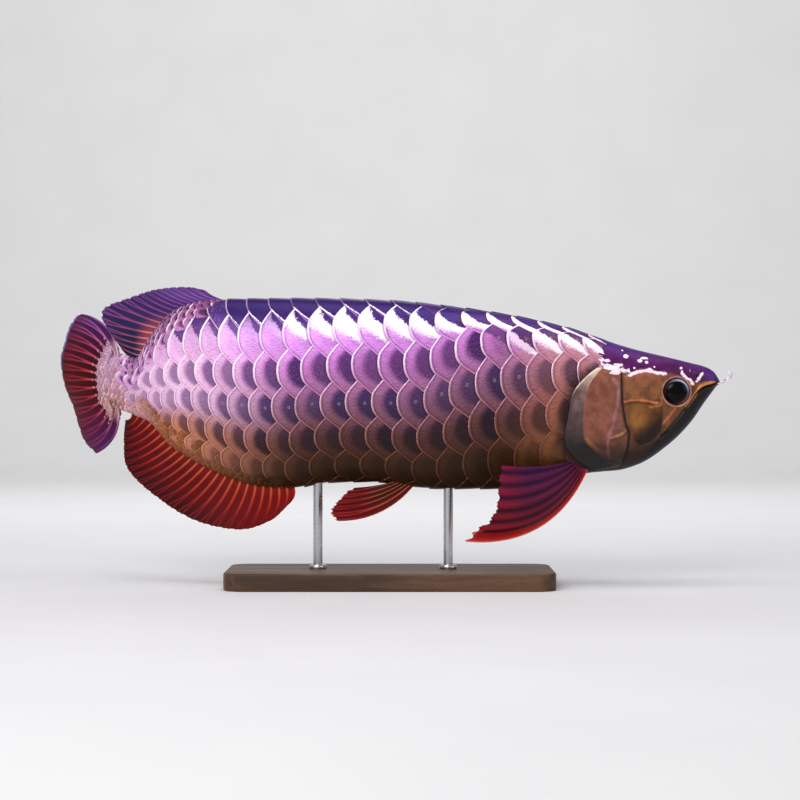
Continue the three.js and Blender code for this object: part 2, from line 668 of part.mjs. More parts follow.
function addHead() {
  const base = coreHead({});
  const raisedBy = (raise) => coreHead({ raise });
  const orbit = new THREE.Shape().absarc(EYE_X, EYE_Z, ORBIT_RADIUS, 0, 2 * Math.PI).getPoints(9);
  const upperCheek = [[200, 181], [229, 184], [229.5, 159.5], [200.5, 158.5]].map(vector);
  const lowerCheek = [[200.8, 156.5], [204, 139], [208, 131], [213, 122.5], [226, 128.5], [230, 156.5]].map(vector);
  const maxilla = [...mouth.slice(1), ...mouth.slice(1).reverse().map((p, i, list) => {
    const width = 6.5 - 4 * (i / (list.length - 1));
    return new THREE.Vector2(p.x - 0.72 * width, p.y + 0.72 * width);
  })];
  const cheekSkin = raisedBy(CHEEK_PLATE_RAISE);
  const lipSkin = raisedBy(LIP_RAISE);
  let skull = base.add(lipSkin.intersect(prism(maxilla)));
  for (const plate of [upperCheek, lowerCheek, orbit.slice(0, -1)]) {
    skull = skull.add(cheekSkin.intersect(prism(plate)));
  }
  const cover = [...shoulder.slice(2), ...curvePoints([...PREOPERCLE_LINE].reverse(), 10)];
  const pocket = prism(grown(cover, GAP)).subtract(coreHead({ shrink: GILL_COVER_DEPTH, rings: 9 }));
  const jaw = prism(jawOutline);
  const head = skull.intersect(prism(headOutline)).subtract(pocket).subtract(prism(grown(jawOutline, GAP)));

  let carved = head;
  let lower = base.add(lipSkin.intersect(prism([
    ...mouth, ...[...mouth].reverse().map((p) => new THREE.Vector2(p.x + 2.2, p.y - 2.2)),
  ]))).intersect(jaw).intersect(prism(headOutline));
  const slim = coreHead({ shrink: GILL_COVER_DEPTH - GAP, rings: 9 });
  const membrane = raisedBy(GILL_MEMBRANE_RAISE).intersect(prism(cover));
  const inner = grown(cover, -1).filter((p) => p.x > 0);
  const opercle = raisedBy(GILL_COVER_RAISE).intersect(prism([
    ...inner.map((p) => new THREE.Vector2(Math.max(p.x, 166 + Math.abs(p.y - 150) * 0.12), p.y)),
  ]));
  for (const [name, side] of Object.entries(SIDES)) {
    const half = prism(
      [[100, 50], [300, 50], [300, 300], [100, 300]].map(vector),
      side < 0 ? -PRISM_HALF : 1, side < 0 ? -1 : PRISM_HALF,
    );
    addPiece(`gill_cover_${name}`, toGeometry(membrane.add(opercle).subtract(slim).intersect(half)), "cheek");
    addPiece(`eye_${name}`, eyeball(side, 0), "eye");
    carved = carved.subtract(toSolid(eyeball(side, GAP)));
    carved = carved.subtract(pit(263.5, 180.5, 1.6, side)).subtract(pit(257.5, 184.5, 1.4, side));
  }
  lower = lower.subtract(toSolid(eyeball(-1, GAP))).subtract(toSolid(eyeball(1, GAP)));
  addPiece("head", toGeometry(carved), "cheek");
  addPiece("lower_jaw", toGeometry(lower), "jaw");
}

function addBarbels() {
  const clear = coreHead({ raise: GAP + LIP_RAISE });
  for (const [name, side] of Object.entries(SIDES)) {
    const route = new THREE.CatmullRomCurve3([
      [278, 3, 172.5], [283.5, 5, 174.5], [288, 7.5, 176.6], [291.8, 9.5, 179.6], [293, 10.6, 185],
    ].map(([x, y, z]) => new THREE.Vector3(x, side * y, z)));
    const steps = 12;
    const sides = 6;
    const frames = route.computeFrenetFrames(steps, false);
    const points = [];
    const triangles = [];
    for (let i = 0; i <= steps; i++) {
      const radius = BARBEL_RADIUS * (1 - 0.6 * (i / steps));
      const middle = route.getPointAt(i / steps);
      for (let k = 0; k < sides; k++) {
        const turn = (2 * Math.PI * k) / sides;
        points.push(middle.clone().addScaledVector(frames.normals[i], radius * Math.cos(turn))
          .addScaledVector(frames.binormals[i], radius * Math.sin(turn)));
      }
    }
    for (let i = 0; i < steps; i++) {
      for (let k = 0; k < sides; k++) {
        const a = i * sides + k;
        const b = i * sides + ((k + 1) % sides);
        triangles.push([a, b, b + sides], [a, b + sides, a + sides]);
      }
    }
    closeEnds(points, triangles);
    addPiece(`barbel_${name}`, toGeometry(toSolid(meshFrom(points, triangles)).subtract(clear)), "barbel");
  }
}

function addFins() {
  const clear = scaledBody(GAP);
  const ahead = prism(grown(headOutline, GAP));
  const addFin = (name, solid, look) => addPiece(name, toGeometry(solid), look);
  addFin("dorsal_fin", finSolid(dorsalFin).subtract(clear), "blueFin");
  addFin("anal_fin", finSolid(analFin).subtract(clear), "fin");
  const beforeCaudal = grown([
    ...curvePoints(CAUDAL_BASE, 12), vector([-100, 120]), vector([-100, 230]),
  ], GAP);
  addFin("caudal_fin", finSolid(caudalFin).subtract(prism(beforeCaudal)), "fin");
  for (const [name, side] of Object.entries(SIDES)) {
    const pectoralLie = spreading(side, PECTORAL_ROOT_Y, PECTORAL_SPREAD, 3, LEFT_FORWARD.pectoral);
    const pelvicLie = spreading(side, PELVIC_ROOT_Y, PELVIC_SPREAD, 2, LEFT_FORWARD.pelvic);
    const pectoral = { ...pectoralFin, lie: pectoralLie };
    const pelvic = { ...pelvicFin, lie: pelvicLie };
    addFin(`pectoral_fin_${name}`, finSolid(pectoral).subtract(clear).subtract(ahead), "fin");
    addFin(`pelvic_fin_${name}`, finSolid(pelvic).subtract(clear), "fin");
  }
}

function addStand() {
  const half = new THREE.Vector2(BASE_LENGTH / 2, BASE_WIDTH / 2);
  const inset = half.clone().subScalar(BASE_CORNER);
  const slab = new THREE.Shape();
  slab.absarc(inset.x, inset.y, BASE_CORNER, 0, Math.PI / 2);
  slab.absarc(-inset.x, inset.y, BASE_CORNER, Math.PI / 2, Math.PI);
  slab.absarc(-inset.x, -inset.y, BASE_CORNER, Math.PI, 1.5 * Math.PI);
  slab.absarc(inset.x, -inset.y, BASE_CORNER, 1.5 * Math.PI, 2 * Math.PI);
  const base = new THREE.ExtrudeGeometry(slab, { depth: BASE_HEIGHT, bevelEnabled: false, curveSegments: 8 });
  addPiece("stand_base", mergeVertices(base), "base");
  const clear = scaledBody(GAP);
  for (const [name, x] of Object.entries(ROD_X)) {
    const bottom = BASE_HEIGHT + GAP;
    const top = bellyAt(x) + 8;
    const rod = new THREE.CylinderGeometry(ROD_RADIUS, ROD_RADIUS, top - bottom, 24);
    rod.rotateX(Math.PI / 2);
    rod.translate(x, sweep(x).y, (top + bottom) / 2);
    addPiece(`stand_rod_${name}`, toGeometry(toSolid(rod).subtract(clear)), "rod");
  }
}

addTorso();
addHead();
addBarbels();
addFins();
addStand();

export default arowana;
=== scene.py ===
"""The looks of a life-size asian arowana model on its display stand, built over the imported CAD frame."""
import logging
import math
from dataclasses import dataclass, field
from enum import Enum
from typing import Callable, Optional, Sequence

import bpy
import numpy as np
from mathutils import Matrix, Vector


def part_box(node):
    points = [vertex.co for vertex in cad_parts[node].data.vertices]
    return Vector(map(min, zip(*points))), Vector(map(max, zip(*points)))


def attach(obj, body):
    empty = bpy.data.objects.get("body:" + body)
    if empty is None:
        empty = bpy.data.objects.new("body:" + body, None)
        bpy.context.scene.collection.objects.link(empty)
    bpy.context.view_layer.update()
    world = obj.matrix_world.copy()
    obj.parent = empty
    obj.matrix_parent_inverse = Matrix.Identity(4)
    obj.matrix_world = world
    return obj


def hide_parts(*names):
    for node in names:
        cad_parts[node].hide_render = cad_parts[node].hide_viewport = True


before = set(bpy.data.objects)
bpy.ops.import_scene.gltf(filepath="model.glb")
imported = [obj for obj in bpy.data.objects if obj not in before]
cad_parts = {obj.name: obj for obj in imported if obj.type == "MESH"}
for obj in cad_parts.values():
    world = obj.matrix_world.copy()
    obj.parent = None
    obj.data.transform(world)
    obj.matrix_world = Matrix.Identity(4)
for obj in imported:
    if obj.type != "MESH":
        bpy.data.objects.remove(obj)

LOG = logging.getLogger("arowana")
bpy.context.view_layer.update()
MM = 0.001
BODY = "root"
SEED = 7
SCALE_COLOURS = ("Rim", "Field", "Core")
SCALE_MARKS = ("Chance", "Flash", "FlashAt", "CoreShare", "EdgeLight", "Pore")

# The body's lines in millimetres, as in the CAD source: x along the body, then the line's own value.
BACK_LINE = (
    (-256, 197), (-238, 200), (-223, 196), (-210, 213), (-191, 235), (-174, 242.5), (-141, 246.5),
    (-78, 247), (0, 245), (52, 240), (103, 232.5), (155, 221), (206, 204.7), (258, 192), (271, 188.5),
    (278, 184.5), (283, 177),
)
BELLY_LINE = (
    (-256, 156), (-238, 152.5), (-226, 148.5), (-210, 142), (-191, 121.5), (-166, 106), (-142, 95),
    (-111, 86.5), (-82, 85), (-55, 89.5), (-17, 90.3), (43, 84.3), (95, 84.3), (138, 93), (163, 97.5),
    (195, 99.5), (213, 104.5), (241, 123), (259, 141.5), (270, 157.4), (283, 175),
)
HALF_WIDTH = (
    (-256, 1.2), (-248, 3.3), (-238, 5.6), (-210, 10), (-180, 14.5), (-140, 20), (-80, 26.5), (-20, 30.5),
    (40, 31.8), (100, 31.8), (150, 30.6), (180, 29), (206, 26), (230, 21.5), (246, 17.5), (262, 13.5),
    (274, 9.5), (280, 6.5), (283, 2.5),
)
WIDEST_LEVEL = ((-256, 0.5), (-140, 0.52), (0, 0.58), (150, 0.58), (215, 0.6), (283, 0.62))
BACK_SQUARENESS = ((-256, 1.9), (-180, 2), (-80, 2.4), (60, 2.7), (180, 2.9), (240, 3.2), (283, 2.6))
BELLY_SQUARENESS = ((-256, 1.9), (-140, 1.9), (0, 2), (150, 1.95), (200, 1.75), (283, 1.7))
TAIL_X, SNOUT_X = -256.0, 283.0
TAIL_TIP_X = -299.0
TAIL_SWEEP = 84.0
TAIL_SWEEP_POWER = 3

# The rows of scales: widths of each row round half the girth, at places along the body.
LAST_ROW = 6
NAPE_Z = 189
FRONT_PART_X = 12
ROW_SHARE = (
    (-256, (8, 8, 9, 9, 6, 3, 3)), (-208, (16.5, 15, 15.3, 15.6, 11, 4, 4)),
    (-164, (22, 29, 23, 24.3, 23.5, 16.3, 11)), (9, (19, 31, 35.4, 31.9, 29.2, 26.9, 12.2)),
    (95, (8, 13, 30, 39, 35.5, 30, 24)), (158, (7, 9, 12.7, 39.8, 29.4, 30, 20)),
)
SCALE_PITCH = 21.8
TAIL_PITCH_LOSS = 10.8
PITCH_TURN_X = -20.0
PITCH_TURN_LENGTH = 195.0
PITCH_POWER = 1.6
PITCH_PHASE_X = -85.0
ROW_SLANT = -0.24
PLATE_HEIGHT = 1.2

# The head's lines in side view, as x and z.
SHOULDER_LINE = (
    (176, 206), (177.5, 189), (166, 180.3), (154.4, 166), (150, 145), (147.6, 127), (154.4, 113.4),
    (168.8, 104), (181, 99.5),
)
PREOPERCLE_LINE = ((196.5, 182), (197.3, 158.3), (200.5, 139), (203.5, 132), (202.5, 118), (199, 108))
MOUTH_LINE = (
    (283, 175.5), (276, 173.4), (267.5, 170.3), (262.5, 166.5), (256, 157.5), (248, 146.5), (240, 137),
    (231.5, 129.5),
)
UPPER_CHEEK = ((199.5, 180.5), (214, 182.5), (230, 182), (231.5, 172), (231, 160.6), (200, 160.2))
LOWER_CHEEK = (
    (200.2, 157.4), (201.5, 146), (205, 136), (207, 127), (213, 121), (224, 124.5), (231, 133), (232.4, 144),
    (231.5, 156.2),
)
CHEEK_RIDGE = ((199.1, 158.6), (204.9, 159.6), (214.1, 159.8), (221, 158.6), (227.6, 157.4))
CHEEK_LOOP = ((230.4, 162.2), (231.6, 158.6), (229.7, 155.6), (224.5, 154.4), (219.9, 153.9))
CHEEK_TOP_RIM = ((203, 180.8), (208, 183), (214.1, 184.6), (221, 185), (226, 183.2), (234.3, 182.2))
WAVY_RIDGE = (
    (189.3, 177.5), (193.6, 171.5), (193.9, 163), (191.6, 150), (188.9, 139.5), (186.4, 130.7), (185, 121.5),
    (186.6, 111.6),
)
INTEROPERCLE_RIDGE = ((187.9, 128.6), (194.5, 130.7), (199.1, 133.4), (201.8, 136.8))
OPERCLE_FOOT = ((166.4, 127.4), (172.5, 121), (179, 117.6), (184.1, 115.4), (186.6, 111.6))
MEMBRANE_INNER = (
    (179.3, 187), (171.2, 177.9), (166.8, 170), (164.2, 155), (163.3, 139), (165, 127.2), (171.4, 118),
    (181, 110.5), (188, 105.5),
)
EYE_FOOT_RIDGE = ((243.5, 153.2), (239.5, 147.8), (232.6, 139.9))
MAXILLA_RIDGE = ((238, 141.4), (234, 132.2), (230.9, 127))
NOSTRIL_RIDGES = (
    ((248.8, 183.8), (251.8, 179.6), (256.3, 176.9), (258.6, 173.4)),
    ((267.4, 182.8), (264.2, 178.9), (261.9, 175.8)),
)
LIP_LINE = ((277.4, 174.9), (271.5, 174.4), (265.2, 171.6), (259.8, 163.8), (253.4, 154.9))
NOSTRILS = ((263.5, 180.5, 1.7), (257.5, 184.5, 1.5))
CROWN_SPOTS = (
    (200.8, 197.1, 2.2, 1.8), (212.6, 193.4, 2.2, 1.5), (216.5, 195.6, 3.2, 1.1), (218.5, 192, 1.6, 1.2),
    (248.6, 187.3, 1.5, 1.0), (256.6, 185, 1.0, 0.8), (207.8, 187.2, 1.2, 1.0), (225.1, 188.2, 0.9, 0.8),
    (197.9, 202.3, 1.0, 0.7), (220.6, 186.6, 1.8, 0.8),
)
NAPE_PATCHES = (
    (174.6, 199.4, 2.0, 4.6), (178.4, 194.2, 3.6, 2.0), (184.2, 193.4, 2.6, 1.5), (187.6, 187.4, 5.6, 2.4),
    (193.4, 189.8, 4.2, 1.5), (191, 183.4, 5.4, 2.0),
)
EYE_X, EYE_Z = 244.2, 167.2
EYE_RADIUS = 11.6
EYE_HALF_DEPTH = 7.5
EYE_PROUD = 1.8
BARBEL_ROUTE = ((278, 3, 172.5), (283.5, 5, 174.5), (288, 7.5, 176.6), (291.8, 9.5, 179.6), (293, 10.6, 185))
BARBEL_RADIUS = 0.9

# The camera of the photograph: a level 100 mm lens whose middle looks at VIEW_X, VIEW_Z.
VIEW_X, VIEW_Z = 8.6, 160.0
VIEW_DISTANCE = 1911.0
LENS = 100.0
SENSOR = 36.0


class Side(Enum):
    """The two flanks, with the sign of y on each."""

    RIGHT = -1
    LEFT = 1


def tone(red: float, green: float, blue: float) -> np.ndarray:
    """Returns a screen colour, each part from 0 to 255, as linear light."""
    screen = np.array([red, green, blue], float) / 255
    return np.where(screen <= 0.04045, screen / 12.92, ((screen + 0.055) / 1.055) ** 2.4)


def ease(value: np.ndarray, low: float, high: float) -> np.ndarray:
    """Returns 0 below low, 1 above high and a soft step between them."""
    t = np.clip((value - low) / (high - low), 0, 1)
    return t * t * (3 - 2 * t)


def blend(base: np.ndarray, colour: np.ndarray, share: np.ndarray) -> np.ndarray:
    """Returns base colours moved towards a colour by a share for each point."""
    return base + (colour - base) * share[..., None]


class Line:
    """A smooth line through points that never runs past them, as in the CAD source."""

    def __init__(self, points: Sequence[Sequence[float]]):
        """Takes the points.

        Args:
            points: pairs of place and value, in any order.
        """
        ordered = sorted(points, key=lambda p: p[0])
        self.at = np.array([p[0] for p in ordered], float)
        self.of = np.array([p[1] for p in ordered], float)
        step = np.diff(self.at)
        rise = np.diff(self.of) / step
        slope = np.zeros(len(self.at))
        slope[0], slope[-1] = rise[0], rise[-1]
        for i in range(1, len(self.at) - 1):
            if rise[i - 1] * rise[i] > 0:
                a, b = 2 * step[i] + step[i - 1], step[i] + 2 * step[i - 1]
                slope[i] = (a + b) / (a / rise[i - 1] + b / rise[i])
        self.step, self.slope = step, slope

    def __call__(self, place: np.ndarray) -> np.ndarray:
        """Returns the line's value at each place."""
        place = np.clip(place, self.at[0], self.at[-1])
        i = np.clip(np.searchsorted(self.at, place, side="right") - 1, 0, len(self.at) - 2)
        h = self.step[i]
        t = (place - self.at[i]) / h
        return (
            (2 * t**3 - 3 * t**2 + 1) * self.of[i]
            + (t**3 - 2 * t**2 + t) * h * self.slope[i]
            + (-2 * t**3 + 3 * t**2) * self.of[i + 1]
            + (t**3 - t**2) * h * self.slope[i + 1]
        )


class ColourRun:
    """Colours that change smoothly along a value."""

    def __init__(self, *stops: tuple):
        """Takes the stops.

        Args:
            stops: pairs of place and screen colour.
        """
        self.at = [place for place, _ in stops]
        self.colours = np.array([tone(*colour) for _, colour in stops])

    def __call__(self, place: np.ndarray) -> np.ndarray:
        """Returns the colour at each place."""
        return np.stack([np.interp(place, self.at, self.colours[:, i]) for i in range(3)], axis=-1)


class Trace:
    """A smooth curve through corner points, measured by its own length."""

    def __init__(self, corners: Sequence[Sequence[float]], samples: int = 600):
        """Takes the corners.

        Args:
            corners: the points that the curve passes.
            samples: how many places the curve is worked out at.
        """
        p = np.array(corners, float)
        u = np.linspace(0, len(p) - 1, samples)
        i = np.minimum(u.astype(int), len(p) - 2)
        t = (u - i)[:, None]
        a, b, c, d = p[np.maximum(i - 1, 0)], p[i], p[i + 1], p[np.minimum(i + 2, len(p) - 1)]
        v0, v1 = (c - a) / 2, (d - b) / 2
        self.points = (2 * b - 2 * c + v0 + v1) * t**3 + (-3 * b + 3 * c - 2 * v0 - v1) * t**2 + v0 * t + b
        gaps = np.linalg.norm(np.diff(self.points, axis=0), axis=1)
        self.along = np.concatenate([[0], np.cumsum(gaps)])
        self.length = self.along[-1]

    def __call__(self, share: np.ndarray) -> np.ndarray:
        """Returns the point at each share of the curve's length."""
        reach = np.clip(share, 0, 1) * self.length
        return np.stack([np.interp(reach, self.along, column) for column in self.points.T], axis=-1)

    def away(self, x: np.ndarray, z: np.ndarray) -> np.ndarray:
        """Returns how far each point of the side view is from the curve."""
        path = self(np.linspace(0, 1, max(8, int(self.length / 1.5))))
        spot = np.stack([x, z], axis=-1)
        best = np.full(x.shape, 1e9)
        for start, end in zip(path[:-1], path[1:]):
            run = end - start
            t = np.clip(((spot - start) @ run) / max(run @ run, 1e-9), 0, 1)
            gap = np.linalg.norm(spot - start - t[..., None] * run, axis=-1)
            best = np.minimum(best, gap)
        return best


class Outline:
    """A closed outline in side view."""

    def __init__(self, corners: Sequence[Sequence[float]]):
        """Takes the corners in order."""
        self.corners = np.array(corners, float)

    def depth(self, x: np.ndarray, z: np.ndarray) -> np.ndarray:
        """Returns how far inside the outline each point is, negative outside."""
        inside = np.zeros(x.shape, bool)
        best = np.full(x.shape, 1e9)
        spot = np.stack([x, z], axis=-1)
        for start, end in zip(self.corners, np.roll(self.corners, -1, axis=0)):
            run = end - start
            t = np.clip(((spot - start) @ run) / (run @ run), 0, 1)
            best = np.minimum(best, np.linalg.norm(spot - start - t[..., None] * run, axis=-1))
            if start[1] != end[1]:
                crosses = (start[1] > z) != (end[1] > z)
                cut = start[0] + (z - start[1]) * run[0] / run[1]
                inside ^= crosses & (x < cut)
        return np.where(inside, best, -best)


def sweep(x: np.ndarray) -> tuple:
    """Returns how far the body's middle line swings aside at x, and its slope there."""
    reach = np.maximum(0, x / TAIL_TIP_X)
    aside = TAIL_SWEEP * reach**TAIL_SWEEP_POWER
    slope = TAIL_SWEEP * TAIL_SWEEP_POWER * reach ** (TAIL_SWEEP_POWER - 1) / TAIL_TIP_X
    return aside, slope


def place(x: np.ndarray, w: np.ndarray, z: np.ndarray) -> np.ndarray:
    """Returns the points in space, in millimetres, of places given by x, distance aside and height."""
    aside, slope = sweep(x)
    size = np.hypot(1, slope)
    return np.stack([x - w * slope / size, aside + w / size, z], axis=-1)


class BodyForm:
    """The body's shape without its scales, from the lines of the CAD source."""

    STEP = 1.0
    SHARES = 241
    TURNS = 193

    def __init__(self) -> None:
        """Works out the sections once, at even steps along the body and even shares of the girth."""
        count = int(round((SNOUT_X - TAIL_X) / self.STEP)) + 1
        self.x = np.linspace(TAIL_X, SNOUT_X, count)
        top, bottom = Line(BACK_LINE)(self.x), Line(BELLY_LINE)(self.x)
        half = Line(HALF_WIDTH)(self.x)[:, None]
        level = (bottom + Line(WIDEST_LEVEL)(self.x) * (top - bottom))[:, None]
        turn = np.linspace(0, math.pi, self.TURNS)[None, :]
        over = turn <= math.pi / 2
        square = np.where(
            over, Line(BACK_SQUARENESS)(self.x)[:, None], Line(BELLY_SQUARENESS)(self.x)[:, None]
        )
        power = 2 / square
        w = half * np.sin(turn).clip(0) ** power
        rise = np.abs(np.cos(turn)) ** power
        z = np.where(over, level + (top[:, None] - level) * rise, level - (level - bottom[:, None]) * rise)
        arc = np.concatenate(
            [np.zeros((count, 1)), np.cumsum(np.hypot(np.diff(w, axis=1), np.diff(z, axis=1)), axis=1)],
            axis=1
        )
        self.girth = arc[:, -1]
        shares = np.linspace(0, 1, self.SHARES)
        self.w = np.stack([np.interp(shares, a / a[-1], v) for a, v in zip(arc, w)])
        self.z = np.stack([np.interp(shares, a / a[-1], v) for a, v in zip(arc, z)])
        dwx, dws = np.gradient(self.w, self.STEP, shares)
        dzx, dzs = np.gradient(self.z, self.STEP, shares)
        normal = np.stack([dwx * dzs - dzx * dws, -dzs, dws], axis=-1)
        normal[:, 0, 1] = normal[:, -1, 1] = 0
        self.normal = normal / np.linalg.norm(normal, axis=-1, keepdims=True)

    def sample(self, table: np.ndarray, x: np.ndarray, share: np.ndarray) -> np.ndarray:
        """Returns a table's values between its stations."""
        i = np.clip((x - TAIL_X) / self.STEP, 0, len(self.x) - 1.001)
        k = np.clip(share * (self.SHARES - 1), 0, self.SHARES - 1.001)
        i0, k0 = i.astype(int), k.astype(int)
        fi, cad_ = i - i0, k - k0
        if table.ndim == 3:
            fi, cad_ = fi[..., None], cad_[..., None]
        low = table[i0, k0] * (1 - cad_) + table[i0, k0 + 1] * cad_
        high = table[i0 + 1, k0] * (1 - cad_) + table[i0 + 1, k0 + 1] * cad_
        return low * (1 - fi) + high * fi

    def flank(self, x: np.ndarray, share: np.ndarray, side: np.ndarray, raised: np.ndarray) -> np.ndarray:
        """Returns points on the body, in millimetres.

        Args:
            x: places along the body.
            share: shares of the half girth, 0 on the back and 1 on the belly.
            side: the sign of y on the flank.
            raised: how far each point stands off the body.

        Returns:
            The points in space.
        """
        n = self.sample(self.normal, x, share)
        w = self.sample(self.w, x, share) + n[..., 1] * raised
        z = self.sample(self.z, x, share) + n[..., 2] * raised
        return place(x + n[..., 0] * raised, side * w, z)

    def height(self, x: np.ndarray, share: np.ndarray) -> np.ndarray:
        """Returns the height of points on the body."""
        return self.sample(self.z, x, share)

    def share_at(self, x: np.ndarray, z: np.ndarray) -> np.ndarray:
        """Returns the share of the half girth at which the body has a height, for each x."""
        shares = np.linspace(0, 1, self.SHARES)
        out = np.empty(x.size)
        for i, (px, pz) in enumerate(zip(x.ravel(), z.ravel())):
            column = self.sample(self.z, np.full(self.SHARES, px), shares)
            out[i] = np.interp(pz, column[::-1], shares[::-1])
        return out.reshape(x.shape)

    def width_at(self, x: float, z: float) -> float:
        """Returns the half width of the body at one x and height."""
        share = self.share_at(np.array([x]), np.array([z]))
        return float(self.sample(self.w, np.array([x]), share)[0])


class Lattice:
    """The places of the scales: counts along the body and rows down the flank."""

    def __init__(self) -> None:
        """Works out the counts along the body and the rows' lines."""
        xs = np.arange(-300.0, 300.0, 0.25)
        past = np.maximum(0, (PITCH_TURN_X - xs) / PITCH_TURN_LENGTH)
        pitch = SCALE_PITCH - TAIL_PITCH_LOSS * np.minimum(past, 1.1) ** PITCH_POWER
        counts = np.concatenate([[0], np.cumsum(0.25 / ((pitch[:-1] + pitch[1:]) / 2))])
        self.xs = xs
        self.counts = counts - np.interp(PITCH_PHASE_X, xs, counts)
        self.rows = [Line([(x, widths[row]) for x, widths in ROW_SHARE]) for row in range(LAST_ROW + 1)]

    def x_at(self, count: np.ndarray) -> np.ndarray:
        """Returns the x at a count of scales ahead of the phase line."""
        return np.interp(count, self.counts, self.xs)

    def girth_share(self, x: np.ndarray, row: np.ndarray) -> np.ndarray:
        """Returns the share of the half girth where a row number lies."""
        x, row = np.broadcast_arrays(np.asarray(x, float), np.asarray(row, float))
        widths = np.stack([line(x) for line in self.rows])
        edges = np.cumsum(widths, axis=0)
        middles = np.concatenate(
            [[np.zeros(x.shape)], edges[: LAST_ROW - 1] + widths[1:LAST_ROW] / 2, [edges[-1]]]
        )
        row = np.clip(row, 0, LAST_ROW)
        k = np.minimum(row.astype(int), LAST_ROW - 1)
        low = np.take_along_axis(middles, k[None], 0)[0]
        high = np.take_along_axis(middles, k[None] + 1, 0)[0]
        return (low + (high - low) * (row - k)) / edges[-1]

    def place(self, scale: float, row: float, along: np.ndarray, down: np.ndarray) -> tuple:
        """Returns x and girth share of places on one scale, in its own units."""
        x = self.x_at(scale + row * ROW_SLANT + along)
        return x, self.girth_share(x, row + down)


FORM = BodyForm()
LATTICE = Lattice()


def unwrap(x: np.ndarray, share: np.ndarray, side: np.ndarray) -> np.ndarray:
    """Returns the place of points on the flat unwrap of the skin, each flank on its own half."""
    u = (x - TAIL_TIP_X) / (SNOUT_X + 12 - TAIL_TIP_X)
    v = 0.5 + side * (0.01 + 0.48 * share)
    return np.stack([np.clip(u, 0.002, 0.998), v], axis=-1)


